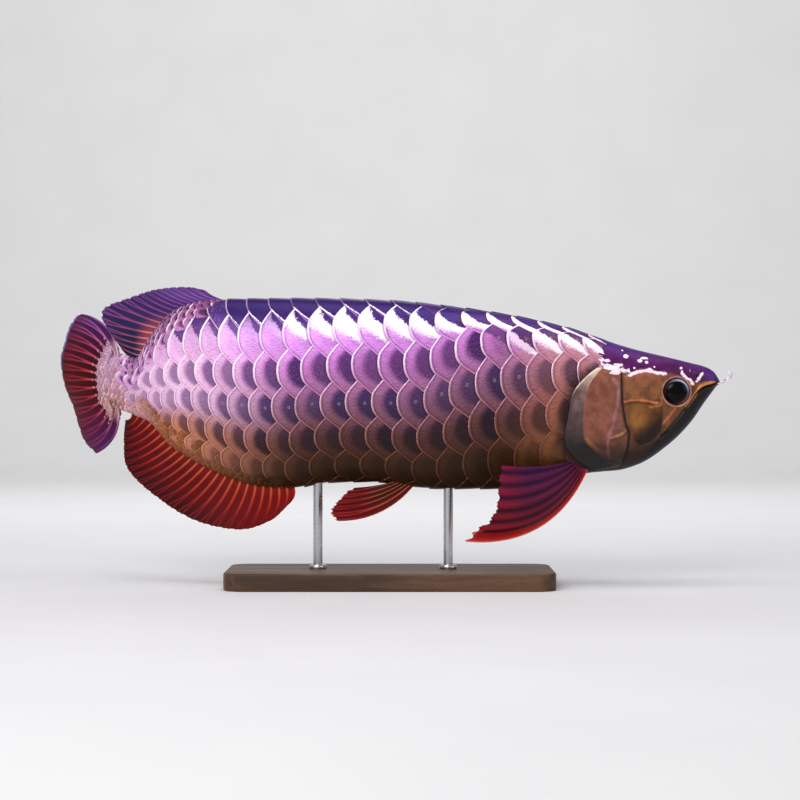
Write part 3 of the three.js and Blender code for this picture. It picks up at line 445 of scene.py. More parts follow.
class Builder:
    """Small steps that every piece is made with."""

    @staticmethod
    def deselect() -> None:
        """Leaves edit mode and clears the selection."""
        if bpy.context.object and bpy.context.object.mode != "OBJECT":
            bpy.ops.object.mode_set(mode="OBJECT")
        bpy.ops.object.select_all(action="DESELECT")

    @classmethod
    def hold(cls, piece: bpy.types.Object) -> None:
        """Makes one piece the only selected and active one."""
        cls.deselect()
        piece.select_set(True)
        bpy.context.view_layer.objects.active = piece

    @classmethod
    def grid(cls, name: str, columns: int, rows: int) -> tuple:
        """Adds a flat grid to be shaped.

        Args:
            name: the piece's name.
            columns: faces across.
            rows: faces up.

        Returns:
            The piece, and for each of its points the shares across and up.
        """
        cls.deselect()
        bpy.ops.mesh.primitive_grid_add(x_subdivisions=columns, y_subdivisions=rows, size=2)
        piece = bpy.context.object
        piece.name = piece.data.name = name
        flat = cls.points(piece)
        return piece, (flat[:, 0] + 1) / 2, (flat[:, 1] + 1) / 2

    @staticmethod
    def points(piece: bpy.types.Object) -> np.ndarray:
        """Returns a piece's points."""
        out = np.empty(len(piece.data.vertices) * 3)
        piece.data.vertices.foreach_get("co", out)
        return out.reshape(-1, 3)

    @staticmethod
    def shape(piece: bpy.types.Object, points: np.ndarray) -> None:
        """Moves a piece's points to places given in millimetres."""
        piece.data.vertices.foreach_set("co", (points * MM).ravel())
        piece.data.update()

    @staticmethod
    def paint(piece: bpy.types.Object, name: str, colours: np.ndarray) -> None:
        """Gives a piece a colour for each point."""
        layer = piece.data.attributes.new(name, "FLOAT_COLOR", "POINT")
        full = np.concatenate([np.clip(colours, 0, 1), np.ones((len(colours), 1))], axis=1)
        layer.data.foreach_set("color", full.ravel())

    @staticmethod
    def mark(piece: bpy.types.Object, name: str, values: np.ndarray) -> None:
        """Gives a piece a value for each point."""
        layer = piece.data.attributes.new(name, "FLOAT", "POINT")
        layer.data.foreach_set("value", np.asarray(values, float).ravel())

    @staticmethod
    def map_uv(piece: bpy.types.Object, name: str, places: np.ndarray) -> None:
        """Gives a piece a UV map from one place for each point."""
        layer = piece.data.uv_layers.get(name) or piece.data.uv_layers.new(name=name)
        corners = np.empty(len(piece.data.loops), int)
        piece.data.loops.foreach_get("vertex_index", corners)
        layer.data.foreach_set("uv", places[corners].ravel())

    @classmethod
    def close_seams(cls, piece: bpy.types.Object) -> None:
        """Joins points that lie on each other, turns the faces outward and smooths them."""
        cls.hold(piece)
        bpy.ops.object.mode_set(mode="EDIT")
        bpy.ops.mesh.select_all(action="SELECT")
        bpy.ops.mesh.remove_doubles(threshold=2e-6)
        bpy.ops.mesh.dissolve_degenerate(threshold=1e-7)
        bpy.ops.mesh.normals_make_consistent(inside=False)
        bpy.ops.object.mode_set(mode="OBJECT")
        bpy.ops.object.shade_smooth()

    @classmethod
    def join(cls, pieces: list, name: str) -> bpy.types.Object:
        """Joins pieces into one and names it."""
        cls.deselect()
        for piece in pieces:
            piece.select_set(True)
        bpy.context.view_layer.objects.active = pieces[0]
        bpy.ops.object.join()
        joined = bpy.context.object
        joined.name = joined.data.name = name
        return joined

    @staticmethod
    def settle(
        piece: bpy.types.Object, material: bpy.types.Material, slot: str, nodes: Sequence[str]
    ) -> None:
        """Gives a piece its material and its body, and hides the CAD nodes it stands for."""
        piece.data.materials.clear()
        piece.data.materials.append(material)
        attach(piece, BODY)
        if nodes:
            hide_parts(*nodes)
        LOG.info("%s: %d faces", piece.name, len(piece.data.polygons))

    @staticmethod
    def copy(plate: bpy.types.Object) -> bpy.types.Object:
        """Returns a copy of a plate with a mesh of its own."""
        piece = plate.copy()
        piece.data = plate.data.copy()
        bpy.context.collection.objects.link(piece)
        return piece

    @classmethod
    def mark_scale(
        cls, piece: bpy.types.Object, colours: tuple, marks: dict, cell: np.ndarray, baked: np.ndarray
    ) -> None:
        """Gives a scale's points what the scales' finish reads.

        Args:
            piece: the scale.
            colours: its rim, field and core.
            marks: its single values by name; one that is left out is 0.
            cell: its points' places on the scale.
            baked: their places on the flat unwrap.
        """
        for name, colour in zip(SCALE_COLOURS, colours):
            cls.paint(piece, name, colour)
        for name in SCALE_MARKS:
            cls.mark(piece, name, np.full(len(cell), marks.get(name, 0.0)))
        cls.map_uv(piece, "Cell", cell)
        cls.map_uv(piece, "OFBake", baked)


class Wiring:
    """A short way to add and link shader nodes."""

    def __init__(self, tree: bpy.types.NodeTree):
        """Takes the node tree to work in."""
        self.tree = tree

    def add(self, kind: str, **settings) -> bpy.types.Node:
        """Adds a node and sets its properties."""
        node = self.tree.nodes.new(kind)
        for key, value in settings.items():
            setattr(node, key, value)
        return node

    def feed(self, socket: bpy.types.NodeSocket, value) -> None:
        """Links a socket to another, or sets its own value."""
        if isinstance(value, bpy.types.NodeSocket):
            self.tree.links.new(value, socket)
        else:
            socket.default_value = value

    def math(self, operation: str, a, b=None, c=None, clamp: bool = False) -> bpy.types.NodeSocket:
        """Returns a sum of one to three values."""
        node = self.add("ShaderNodeMath", operation=operation, use_clamp=clamp)
        for socket, value in zip(node.inputs, (a, b, c)):
            if value is not None:
                self.feed(socket, value)
        return node.outputs[0]

    def step(self, value, low: float, high: float) -> bpy.types.NodeSocket:
        """Returns a soft step from 0 at low to 1 at high, or back when high is the lower."""
        node = self.add("ShaderNodeMapRange", interpolation_type="SMOOTHSTEP", clamp=True)
        rising = low < high
        self.feed(node.inputs["Value"], value)
        self.feed(node.inputs["From Min"], min(low, high))
        self.feed(node.inputs["From Max"], max(low, high))
        self.feed(node.inputs["To Min"], 0.0 if rising else 1.0)
        self.feed(node.inputs["To Max"], 1.0 if rising else 0.0)
        return node.outputs["Result"]

    def mix(self, share, a, b, blend_type: str = "MIX") -> bpy.types.NodeSocket:
        """Returns two colours mixed by a share."""
        node = self.add("ShaderNodeMix", data_type="RGBA", blend_type=blend_type, clamp_factor=True)
        self.feed(node.inputs[0], share)
        self.feed(node.inputs[6], a)
        self.feed(node.inputs[7], b)
        return node.outputs[2]

    def noise(self, vector, scale: float, detail: float = 2.0, rough: float = 0.5) -> bpy.types.NodeSocket:
        """Returns a noise value from 0 to 1."""
        node = self.add("ShaderNodeTexNoise")
        self.feed(node.inputs["Vector"], vector)
        self.feed(node.inputs["Scale"], scale)
        self.feed(node.inputs["Detail"], detail)
        self.feed(node.inputs["Roughness"], rough)
        return node.outputs[0]

    def stretch(self, vector, by: Sequence[float], shift=None) -> bpy.types.NodeSocket:
        """Returns a vector scaled by parts, and moved by another when given."""
        node = self.add("ShaderNodeVectorMath", operation="MULTIPLY")
        self.feed(node.inputs[0], vector)
        self.feed(node.inputs[1], by)
        if shift is None:
            return node.outputs[0]
        moved = self.add("ShaderNodeVectorMath", operation="ADD")
        self.feed(moved.inputs[0], node.outputs[0])
        self.feed(moved.inputs[1], shift)
        return moved.outputs[0]

    def attribute(self, name: str, output: str = "Color") -> bpy.types.NodeSocket:
        """Returns a piece's own colour or value by name."""
        return self.add("ShaderNodeAttribute", attribute_name=name).outputs[output]

    def bump(self, height, strength: float, depth: float, under=None) -> bpy.types.NodeSocket:
        """Returns a surface direction with small relief.

        Args:
            height: the relief's value.
            strength: how strong it is, from 0 to 1.
            depth: the relief's depth in metres.
            under: the direction it starts from.

        Returns:
            The direction.
        """
        node = self.add("ShaderNodeBump")
        self.feed(node.inputs["Height"], height)
        self.feed(node.inputs["Strength"], strength)
        self.feed(node.inputs["Distance"], depth)
        if under is not None:
            self.feed(node.inputs["Normal"], under)
        return node.outputs[0]

    def where(self) -> bpy.types.NodeSocket:
        """Returns each point's place in its object."""
        return self.add("ShaderNodeTexCoord").outputs["Object"]

    def times(self, value: object, by: object) -> bpy.types.NodeSocket:
        """Returns a product."""
        return self.math("MULTIPLY", value, by)

    def times_plus(self, value: object, by: object, plus: object) -> bpy.types.NodeSocket:
        """Returns a product with a third value added."""
        return self.math("MULTIPLY_ADD", value, by, plus)

    def minus(self, value: object, less: object) -> bpy.types.NodeSocket:
        """Returns a difference."""
        return self.math("SUBTRACT", value, less)

    def larger(self, value: object, other: object) -> bpy.types.NodeSocket:
        """Returns the larger of two values."""
        return self.math("MAXIMUM", value, other)

    def tinted(self, share: object, base: object, tint: tuple) -> bpy.types.NodeSocket:
        """Returns a colour that is multiplied by a tint to a share."""
        return self.mix(share, base, self.mix(1.0, base, tint, "MULTIPLY"))


@dataclass(frozen=True)
class GrainGroup:
    """A node group with the fine grain that skin, scales and fins share."""

    name: str = "Living grain"

    def get(self) -> bpy.types.NodeTree:
        """Returns the group, made once."""
        known = bpy.data.node_groups.get(self.name)
        if known:
            return known
        tree = bpy.data.node_groups.new(self.name, "ShaderNodeTree")
        tree.interface.new_socket("Fine", in_out="OUTPUT", socket_type="NodeSocketFloat")
        tree.interface.new_socket("Broad", in_out="OUTPUT", socket_type="NodeSocketFloat")
        tree.interface.new_socket("Normal", in_out="OUTPUT", socket_type="NodeSocketVector")
        w = Wiring(tree)
        where = w.where()
        fine = w.noise(where, 1700.0, 3.0, 0.6)
        broad = w.noise(where, 130.0, 4.0, 0.55)
        out = w.add("NodeGroupOutput")
        w.feed(out.inputs["Fine"], fine)
        w.feed(out.inputs["Broad"], broad)
        w.feed(out.inputs["Normal"], w.bump(fine, 0.5, 0.00012))
        return tree

    def use(self, w: Wiring) -> bpy.types.Node:
        """Adds the group to a material and returns its node."""
        node = w.add("ShaderNodeGroup")
        node.node_tree = self.get()
        return node


class Finish:
    """A material made of nodes. Each kind wires its own."""

    def material(self) -> bpy.types.Material:
        """Returns the material, made once."""
        known = bpy.data.materials.get(self.name)
        if known:
            return known
        made = bpy.data.materials.new(self.name)
        made.use_nodes = True
        tree = made.node_tree
        tree.nodes.clear()
        w = Wiring(tree)
        shader = self.wire(w)
        out = w.add("ShaderNodeOutputMaterial")
        tree.links.new(shader, out.inputs["Surface"])
        return made

    def principled(self, w: Wiring, **values) -> bpy.types.Node:
        """Adds the surface shader with its sockets fed by name."""
        node = w.add("ShaderNodeBsdfPrincipled")
        for key, value in values.items():
            w.feed(node.inputs[key.replace("_", " ")], value)
        return node


@dataclass(frozen=True)
class SkinFinish(Finish):
    """Satin skin of the head and gill covers, coloured by its painted marks and flecked with near-white
    reflective patches that are painted as glints.
    """

    name: str = "Skin"
    roughness: float = 0.4
    coat: float = 0.1

    def wire(self, w: Wiring) -> bpy.types.NodeSocket:
        """Returns the finished shader."""
        grain = GrainGroup().use(w)
        paint = w.attribute("Paint")
        mottled = w.tinted(w.step(grain.outputs["Broad"], 0.35, 0.7), paint, (0.58, 0.55, 0.62, 1))
        bright = w.times(w.step(grain.outputs["Fine"], 0.56, 0.74), 0.35)
        speckled = w.tinted(bright, mottled, (2.0, 1.9, 1.8, 1))
        where = w.where()
        dust = w.noise(where, 1500.0, 3.0, 0.7)
        speckled = w.tinted(w.times(w.step(dust, 0.5, 0.3), 0.5), speckled, (0.4, 0.34, 0.36, 1))
        # Near-white flecks where Pale is above 0: the skin's reflective patches, painted as glints, so
        # partly a painted highlight.
        frayed = w.noise(where, 420.0, 4.0, 0.7)
        frayed = w.times_plus(w.minus(frayed, 0.5), 1.7, w.attribute("Pale", "Fac"))
        inside = w.step(frayed, -0.04, 0.06)
        flecks = w.mix(w.step(dust, 0.3, 0.6), (0.8, 0.5, 0.68, 1), (0.96, 0.82, 0.92, 1))
        speckled = w.mix(inside, speckled, flecks)
        rough = w.times_plus(grain.outputs["Fine"], 0.2, self.roughness - 0.1)
        normal = w.bump(grain.outputs["Broad"], 0.25, 0.0006, grain.outputs["Normal"])
        shader = self.principled(
            w, Base_Color=speckled, Roughness=rough, Normal=normal, Coat_Weight=self.coat,
            Coat_Roughness=0.2,
            Metallic=0.1, Specular_IOR_Level=0.16, Subsurface_Weight=0.06, Subsurface_Scale=0.004,
            Subsurface_Radius=(1.0, 0.4, 0.3),
        )
        return shader.outputs[0]


@dataclass(frozen=True)
class ScaleFinish(Finish):
    """Pearly scales: a pale rim, a tinted field with fine rays and a dark core towards the front that is
    partly painted shade, with painted highlights and a painted shadow under the next scale's edge.
    """

    name: str = "Scales"
    roughness: float = 0.38

    def wire(self, w: Wiring) -> bpy.types.NodeSocket:
        """Returns the finished shader."""
        grain = GrainGroup().use(w)
        cell = w.add("ShaderNodeUVMap", uv_map="Cell").outputs[0]
        parts = w.add("ShaderNodeSeparateXYZ")
        w.feed(parts.inputs[0], cell)
        ahead, down = parts.outputs[0], parts.outputs[1]
        chance = w.attribute("Chance", "Fac")
        shift = w.add("ShaderNodeCombineXYZ")
        w.feed(shift.inputs[0], w.times(chance, 37.0))
        w.feed(shift.inputs[1], w.times(chance, 91.0))
        rim, field_, core = (w.attribute(name) for name in ("Rim", "Field", "Core"))

        rays = w.noise(w.stretch(cell, (4.0, 58.0, 1.0), shift.outputs[0]), 1.0, 2.0, 0.6)
        blotch = w.noise(w.stretch(cell, (3.2, 3.2, 1.0), shift.outputs[0]), 1.0, 3.0, 0.6)
        crumbs = w.noise(w.stretch(cell, (22.0, 26.0, 1.0), shift.outputs[0]), 1.0, 3.0, 0.7)
        flash = w.attribute("Flash", "Fac")
        wobble = w.times_plus(w.minus(blotch, 0.5), 0.22, ahead)
        loose = w.minus(crumbs, 0.5)

        aside = w.times(w.minus(down, 0.47), 1.15)
        front = w.minus(1.0, wobble)
        reach = w.math("SQRT", w.math("ADD", w.times(aside, aside), w.times(front, front)))
        frayed = w.times_plus(w.minus(rays, 0.5), 0.3, w.times_plus(loose, 0.2, reach))
        # Dark core towards the covered front: partly the scale's own darker pigment, partly painted shade.
        core_mask = w.times(w.step(frayed, 0.72, 0.38), w.attribute("CoreShare", "Fac"))
        start = w.attribute("FlashAt", "Fac")
        slope = w.times_plus(w.larger(w.minus(start, 0.28), 0.0), 2.6, 0.36)
        centre = w.times_plus(ahead, slope, start)
        leant = w.minus(w.times_plus(loose, 0.2, down), centre)
        leant = w.times_plus(w.minus(blotch, 0.5), 0.16, leant)
        leant = w.math("DIVIDE", leant, w.larger(flash, 0.05))
        present = w.step(flash, 0.03, 0.08)
        slant_core = w.times(w.step(leant, -0.15, -0.18), present)
        core_mask = w.larger(w.times(core_mask, w.times_plus(present, -0.75, 1.0)), slant_core)
        toned = w.tinted(w.times(w.step(rays, 0.42, 0.62), 0.62), field_, (0.46, 0.4, 0.52, 1))
        toned = w.mix(w.times(w.step(crumbs, 0.5, 0.68), 0.3), toned, rim)
        deep = w.mix(w.times(w.step(crumbs, 0.42, 0.66), 0.6), core, w.mix(0.3, core, field_))
        toned = w.mix(core_mask, toned, deep)
        near_rim = w.times_plus(loose, 0.035, ahead)
        rim_mask = w.times(w.step(near_rim, 0.09, 0.03), w.step(blotch, 0.2, 0.55))
        line = w.times(w.step(near_rim, 0.08, 0.105), w.step(near_rim, 0.16, 0.125))
        toned = w.mix(w.times(line, 0.5), toned, core)
        toned = w.mix(w.times(rim_mask, 0.85), toned, rim)

        # Near-white patch: the scale's silvery layer, painted at the brightness of its reflection, so partly
        # a painted highlight.
        below = w.step(w.times_plus(loose, 0.55, leant), 0.3, 0.12)
        gleam = w.times(w.times(w.step(leant, -0.18, -0.15), below), present)
        gleam = w.times(gleam, w.larger(w.step(flash, 0.28, 0.75), w.step(down, 0.7, 0.74)))
        # Painted highlight along the upper part of the rim.
        edge = w.minus(w.times_plus(loose, 0.16, ahead), w.attribute("EdgeLight", "Fac"))
        edge = w.times(w.step(edge, 0.0, -0.05), w.step(down, 0.85, 0.35))
        gleam = w.larger(gleam, w.times(edge, 0.85))
        lit = w.mix(gleam, toned, (0.92, 0.78, 0.93, 1))

        pore = w.attribute("Pore", "Fac")
        px = w.minus(ahead, w.times_plus(chance, 0.06, 0.7))
        py = w.times(w.minus(down, w.times_plus(chance, 0.05, 0.43)), 1.9)
        far = w.math("SQRT", w.math("ADD", w.times(px, px), w.times(py, py)))
        far = w.times_plus(loose, 0.05, far)
        ring = w.times(w.times(w.step(far, 0.015, 0.03), w.step(far, 0.075, 0.045)), pore)
        lit = w.mix(w.times(ring, 0.22), lit, (0.6, 0.5, 0.62, 1))
        hole = w.times(w.step(far, 0.025, 0.01), pore)
        lit = w.mix(hole, lit, (0.05, 0.03, 0.06, 1))
        # Painted shadow: the scale darkens to near black where the next scale's free edge covers its front.
        neighbour_shadow = w.step(ahead, 0.9, 1.03)
        lit = w.mix(w.times(neighbour_shadow, 0.65), lit, (0.02, 0.012, 0.025, 1))

        relief = w.times_plus(rays, 0.5, w.times(rim_mask, 0.8))
        relief = w.math("ADD", relief, w.times(crumbs, 0.3))
        normal = w.bump(relief, 0.55, 0.0003, grain.outputs["Normal"])
        rough = w.times_plus(crumbs, 0.24, self.roughness - 0.12)
        shader = self.principled(
            w, Base_Color=lit, Metallic=0.22, Roughness=rough, Normal=normal, Coat_Weight=0.05,
            Coat_Roughness=0.2,
            Specular_IOR_Level=0.16, Specular_Tint=(0.95, 0.7, 1.0, 1.0),
        )
        return shader.outputs[0]


@dataclass(frozen=True)
class FinFinish(Finish):
    """Thin fin: coloured web, jointed rays and light that shows through."""

    name: str = "Fins"
    through: float = 0.2

    def wire(self, w: Wiring) -> bpy.types.NodeSocket:
        """Returns the finished shader."""
        grain = GrainGroup().use(w)
        paint = w.attribute("Paint")
        ray = w.attribute("Ray", "Fac")
        fan = w.add("ShaderNodeUVMap", uv_map="Fan").outputs[0]
        parts = w.add("ShaderNodeSeparateXYZ")
        w.feed(parts.inputs[0], fan)
        fibre = w.noise(w.stretch(fan, (26.0, 3.0, 1.0)), 1.0, 3.0, 0.6)
        uneven = w.noise(w.stretch(fan, (2.0, 5.0, 1.0)), 1.0, 2.0, 0.5)
        joint = w.math("FRACT", w.times_plus(uneven, 1.2, w.times(parts.outputs[1], 46.0)))
        joint = w.times(w.step(joint, 0.82, 0.96), w.step(ray, 0.35, 0.8))
        shaded = w.tinted(w.times(w.step(fibre, 0.4, 0.7), 0.4), paint, (0.42, 0.36, 0.4, 1))
        shaded = w.tinted(w.times(joint, 0.5), shaded, (0.35, 0.25, 0.3, 1))
        speck = w.step(grain.outputs["Fine"], 0.62, 0.76)
        shaded = w.tinted(w.times(speck, 0.3), shaded, (1.8, 1.7, 1.8, 1))
        relief = w.minus(w.times(fibre, 0.5), joint)
        normal = w.bump(relief, 0.4, 0.00025, grain.outputs["Normal"])
        solid = self.principled(
            w, Base_Color=shaded, Roughness=w.times_plus(fibre, 0.2, 0.34), Normal=normal, Coat_Weight=0.04,
            Coat_Roughness=0.25, Specular_IOR_Level=0.12,
        )
        glow = w.add("ShaderNodeBsdfTranslucent")
        w.feed(glow.inputs["Color"], shaded)
        both = w.add("ShaderNodeMixShader")
        w.feed(both.inputs[0], w.times(w.step(ray, 0.9, 0.1), self.through))
        w.feed(both.inputs[1], solid.outputs[0])
        w.feed(both.inputs[2], glow.outputs[0])
        return both.outputs[0]


@dataclass(frozen=True)
class EyeFinish(Finish):
    """Dark glossy eye with its iris painted on."""

    name: str = "Eye"

    def wire(self, w: Wiring) -> bpy.types.NodeSocket:
        """Returns the finished shader."""
        where = w.where()
        paint = w.attribute("Paint")
        flecks = w.noise(where, 900.0, 3.0, 0.6)
        tinted = w.tinted(w.times(w.step(flecks, 0.45, 0.7), 0.35), paint, (0.4, 0.4, 0.5, 1))
        shader = self.principled(
            w, Base_Color=tinted, Roughness=w.times_plus(flecks, 0.12, 0.2),
            Normal=w.bump(flecks, 0.15, 0.0001), Coat_Weight=0.25, Coat_Roughness=0.02, Coat_IOR=1.33,
            Specular_IOR_Level=0.05,
        )
        return shader.outputs[0]


@dataclass(frozen=True)
class WoodFinish(Finish):
    """Dark satin walnut with its grain along the base."""

    name: str = "Walnut"

    def wire(self, w: Wiring) -> bpy.types.NodeSocket:
        """Returns the finished shader."""
        where = w.where()
        drift = w.noise(w.stretch(where, (3.0, 14.0, 14.0)), 1.0, 3.0, 0.5)
        rings = w.noise(
            w.stretch(where, (5.0, 150.0, 60.0), w.stretch(drift, (1.6, 1.6, 1.6))), 1.0, 4.0, 0.55
        )
        pores = w.noise(w.stretch(where, (60.0, 1700.0, 1700.0)), 1.0, 2.0, 0.6)
        brown = w.mix(w.step(rings, 0.35, 0.68), (0.042, 0.02, 0.011, 1), (0.125, 0.064, 0.034, 1))
        brown = w.mix(w.times(w.step(pores, 0.58, 0.7), 0.55), brown, (0.02, 0.01, 0.006, 1))
        shader = self.principled(
            w, Base_Color=brown, Roughness=w.times_plus(pores, 0.22, 0.44),
            Normal=w.bump(pores, 0.3, 0.0002), Coat_Weight=0.06, Coat_Roughness=0.4, Specular_IOR_Level=0.25,
        )
        return shader.outputs[0]


@dataclass(frozen=True)
class SteelFinish(Finish):
    """Brushed steel with fine lines round the rod."""

    name: str = "Brushed steel"

    def wire(self, w: Wiring) -> bpy.types.NodeSocket:
        """Returns the finished shader."""
        where = w.where()
        lines = w.noise(w.stretch(where, (40.0, 40.0, 3800.0)), 1.0, 2.0, 0.6)
        smears = w.noise(where, 90.0, 3.0, 0.5)
        grey = w.mix(lines, (0.46, 0.46, 0.47, 1), (0.66, 0.66, 0.67, 1))
        shader = self.principled(
            w, Base_Color=grey, Metallic=1.0, Roughness=w.times_plus(smears, 0.2, 0.18),
            Normal=w.bump(lines, 0.2, 0.0001),
        )
        return shader.outputs[0]


@dataclass(frozen=True)
class StageFinish(Finish):
    """Plain pale paper for the floor and backdrop."""

    name: str = "Studio paper"

    def wire(self, w: Wiring) -> bpy.types.NodeSocket:
        """Returns the finished shader."""
        where = w.where()
        fleck = w.noise(where, 6.0, 3.0, 0.5)
        pale = w.mix(fleck, (0.6, 0.6, 0.61, 1), (0.66, 0.66, 0.665, 1))
        shader = self.principled(w, Base_Color=pale, Roughness=0.85)
        return shader.outputs[0]


class HeadMarks:
    """The head's relief and colours, laid out in side view and shared by the skin and the gill covers."""

    def __init__(self) -> None:
        """Draws the lines once."""
        self.mouth = Trace(MOUTH_LINE)
        self.preopercle = Trace(PREOPERCLE_LINE)
        self.upper_cheek = Outline(UPPER_CHEEK)
        self.lower_cheek = Outline(LOWER_CHEEK)
        self.cheek_ridge = Trace(CHEEK_RIDGE)
        self.cheek_loop = Trace(CHEEK_LOOP)
        self.cheek_top = Trace(CHEEK_TOP_RIM)
        self.wavy = Trace(WAVY_RIDGE)
        self.interopercle = Trace(INTEROPERCLE_RIDGE)
        self.foot = Trace(OPERCLE_FOOT)
        self.eye_foot = Trace(EYE_FOOT_RIDGE)
        self.maxilla = Trace(MAXILLA_RIDGE)
        self.nostril_ridges = [Trace(p) for p in NOSTRIL_RIDGES]
        self.lip = Trace(LIP_LINE)
        self.shoulder = Trace(SHOULDER_LINE)
        self.crown_foot = Line(
            ((150, 196), (178, 190), (200, 184.5), (232, 183.5), (246, 181), (258, 176.5), (283, 174))
        )
        self.mouth_height = Line([(x, z) for x, z in MOUTH_LINE] + [(222, 117), (212, 104)])

    @staticmethod
    def near(gap: np.ndarray, width: float, soft: float) -> np.ndarray:
        """Returns 1 within a width of a line, running out over a soft margin."""
        return 1 - ease(gap, width, width + soft)

    @classmethod
    def uneven(cls, waver: np.ndarray) -> Callable:
        """Returns the soft line's function, made uneven along its way by a wave over the head."""
        return lambda gap, width, soft: cls.near(gap + 0.45 * waver, width, soft) * (0.8 + 0.4 * waver)

    @staticmethod
    def shoulder_x(z: np.ndarray) -> np.ndarray:
        """Returns where the gill cover's free edge stands at a height, up to the nape."""
        return Line([(pz, px) for px, pz in SHOULDER_LINE[1:]])(np.minimum(z, NAPE_Z))

    def eye_gap(self, x: np.ndarray, z: np.ndarray) -> np.ndarray:
        """Returns the distance from the eye's middle."""
        return np.hypot(x - EYE_X, z - EYE_Z)

    @staticmethod
    def wander(x: np.ndarray, z: np.ndarray) -> np.ndarray:
        """Returns a small irregular wave over the head that keeps its lines from looking drawn."""
        rng = np.random.default_rng(SEED)
        return sum(
            np.sin(x * a + z * b + c) for a, b, c in rng.uniform((0.2, -1.1, 0), (1.4, 1.1, 6), (9, 3))
        ) / 7

    def pale(self, x: np.ndarray, z: np.ndarray) -> np.ndarray:
        """Returns where the near-white flecks of the crown, nape and cheek lie, reflective patches painted
        as glints: above 0 inside them.
        """
        out = np.full(x.shape, -1.0)
        for cx, cz, rx, rz in CROWN_SPOTS + NAPE_PATCHES:
            out = np.maximum(out, 1 - np.hypot((x - cx) / rx, (z - cz) / rz))
        out = np.maximum(out, 0.5 - self.cheek_top.away(x, z) / 2.6)
        for ridge in self.nostril_ridges:
            out = np.maximum(out, 0.42 - ridge.away(x, z) / 2.8)
        nape = 0.34 - np.abs(z - self.crown_foot(x) - 0.6) / 5
        out = np.maximum(out, np.where((x > 172) & (x < 204), nape, -1.0))
        return out

    def skin_relief(self, x: np.ndarray, z: np.ndarray) -> np.ndarray:
        """Returns how far the head's skin stands off the plain body."""
        near = self.uneven(self.wander(x, z))
        eye = self.eye_gap(x, z)
        raised = 0.85 * ease(self.upper_cheek.depth(x, z), -0.5, 0.7)
        raised += 0.85 * ease(self.lower_cheek.depth(x, z), -0.5, 0.7)
        ridges = [
            (self.cheek_ridge, 0.75, 0.3, 1.0), (self.cheek_loop, 0.55, 0.3, 1.0),
            (self.cheek_top, 0.3, 0.4, 1.2),
            (self.eye_foot, 0.6, 0.7, 1.3), (self.maxilla, 0.5, 0.5, 1.2),
            *((ridge, 0.5, 0.4, 1.2) for ridge in self.nostril_ridges), (self.lip, 0.8, 0.8, 1.6),
        ]
        for ridge, amount, width, soft in ridges:
            raised += amount * near(ridge.away(x, z), width, soft)
        gap = self.mouth.away(x, z)
        below = z < self.mouth_height(x)
        raised += np.where(below & (x > 228), 0.5 * near(gap, 1.6, 1.6), 0.0)
        raised -= 2.0 * near(gap, 0.15, 0.9)
        raised -= 1.1 * near(self.preopercle.away(x, z), 0.1, 0.8)
        raised += 0.55 * near(np.abs(eye - 12.9), 0.35, 1.1)
        raised -= 7.5 * (1 - ease(eye, 10.3, 11.5))
        for px, pz, radius in NOSTRILS:
            pit = np.hypot(x - px, z - pz)
            raised += 0.5 * near(
                np.abs(pit - radius - 0.4), 0.2, 0.8
            ) - 2.0 * (1 - ease(pit, 0.4 * radius, radius))
        return raised

    def cover_relief(self, x: np.ndarray, z: np.ndarray) -> np.ndarray:
        """Returns the gill cover's own relief over its plain shell."""
        near = self.uneven(self.wander(x, z))
        raised = 0.75 * self.bony(x, z)
        raised += 0.6 * near(self.wavy.away(x, z), 0.4, 1.1)
        raised += 0.55 * near(self.interopercle.away(x, z), 0.35, 1.0)
        raised += 0.4 * near(self.foot.away(x, z), 0.5, 1.0)
        raised -= 0.35 * near(self.interopercle.away(x - 0.4, z + 2.2), 0.2, 0.9)
        return raised

    def bony(self, x: np.ndarray, z: np.ndarray) -> np.ndarray:
        """Returns 1 on the gill cover's bone and 0 on the soft membrane behind it."""
        edge = Line([(pz, px) for px, pz in MEMBRANE_INNER])(z)
        return ease(x - edge, -0.6, 0.9)

    def paint(self, x: np.ndarray, z: np.ndarray, cover: bool) -> np.ndarray:
        """Returns the head's colours.

        Args:
            x: places along the head.
            z: heights.
            cover: whether the points are on the gill cover.

        Returns:
            A colour for each point.
        """
        near = self.near
        wander = self.wander(x, z)
        crown = self.crown_foot(x)
        over = ease(z + 1.2 * wander, crown - 1.0, crown + 1.6)
        colour = np.broadcast_to(tone(122, 78, 56), x.shape + (3,)).copy()
        colour = blend(colour, tone(116, 74, 40), ease(x, 222, 250) * (1 - over))
        colour = blend(colour, tone(60, 30, 22), ease(150 - z, 0, 34) * ease(x, 200, 232))
        if cover:
            colour = self.paint_cover(colour, x, z, wander)
        else:
            plate = ease(self.upper_cheek.depth(x, z), -0.5, 0.8)
            colour = blend(colour, tone(136, 88, 54), plate)
            colour = blend(colour, tone(156, 88, 66), plate * ease(z, 170, 182) * 0.6)
            plate = ease(self.lower_cheek.depth(x, z), -0.5, 0.8)
            colour = blend(colour, tone(128, 82, 42), plate)
            colour = blend(
                colour, tone(178, 120, 58), plate * near(np.hypot(x - 211, (z - 141) * 0.8), 1, 10) * 0.6
            )
            dark = plate * ease((x - 212) * 0.7 + (150 - z) * 0.75, 2, 20)
            colour = blend(colour, tone(26, 14, 12), dark * 0.93)
            # Painted shade in the groove along the preopercle.
            colour = blend(colour, tone(34, 20, 20), near(self.preopercle.away(x, z), 0.5, 0.9))
        # Painted shade: the head darkens towards the bottom.
        low = ease(134 - z, 0, 22) * (1 - over)
        colour = blend(colour, tone(22, 14, 12), low * 0.9)
        violet = ColourRun((0, (78, 20, 72)), (8, (90, 28, 94)), (20, (84, 36, 122)))(z - crown)
        violet = blend(violet, tone(74, 40, 140), ease(x, 262, 280) * 0.6)
        colour = blend(colour, violet, over)
        if not cover:
            colour = self.paint_muzzle(colour, x, z)
        return colour

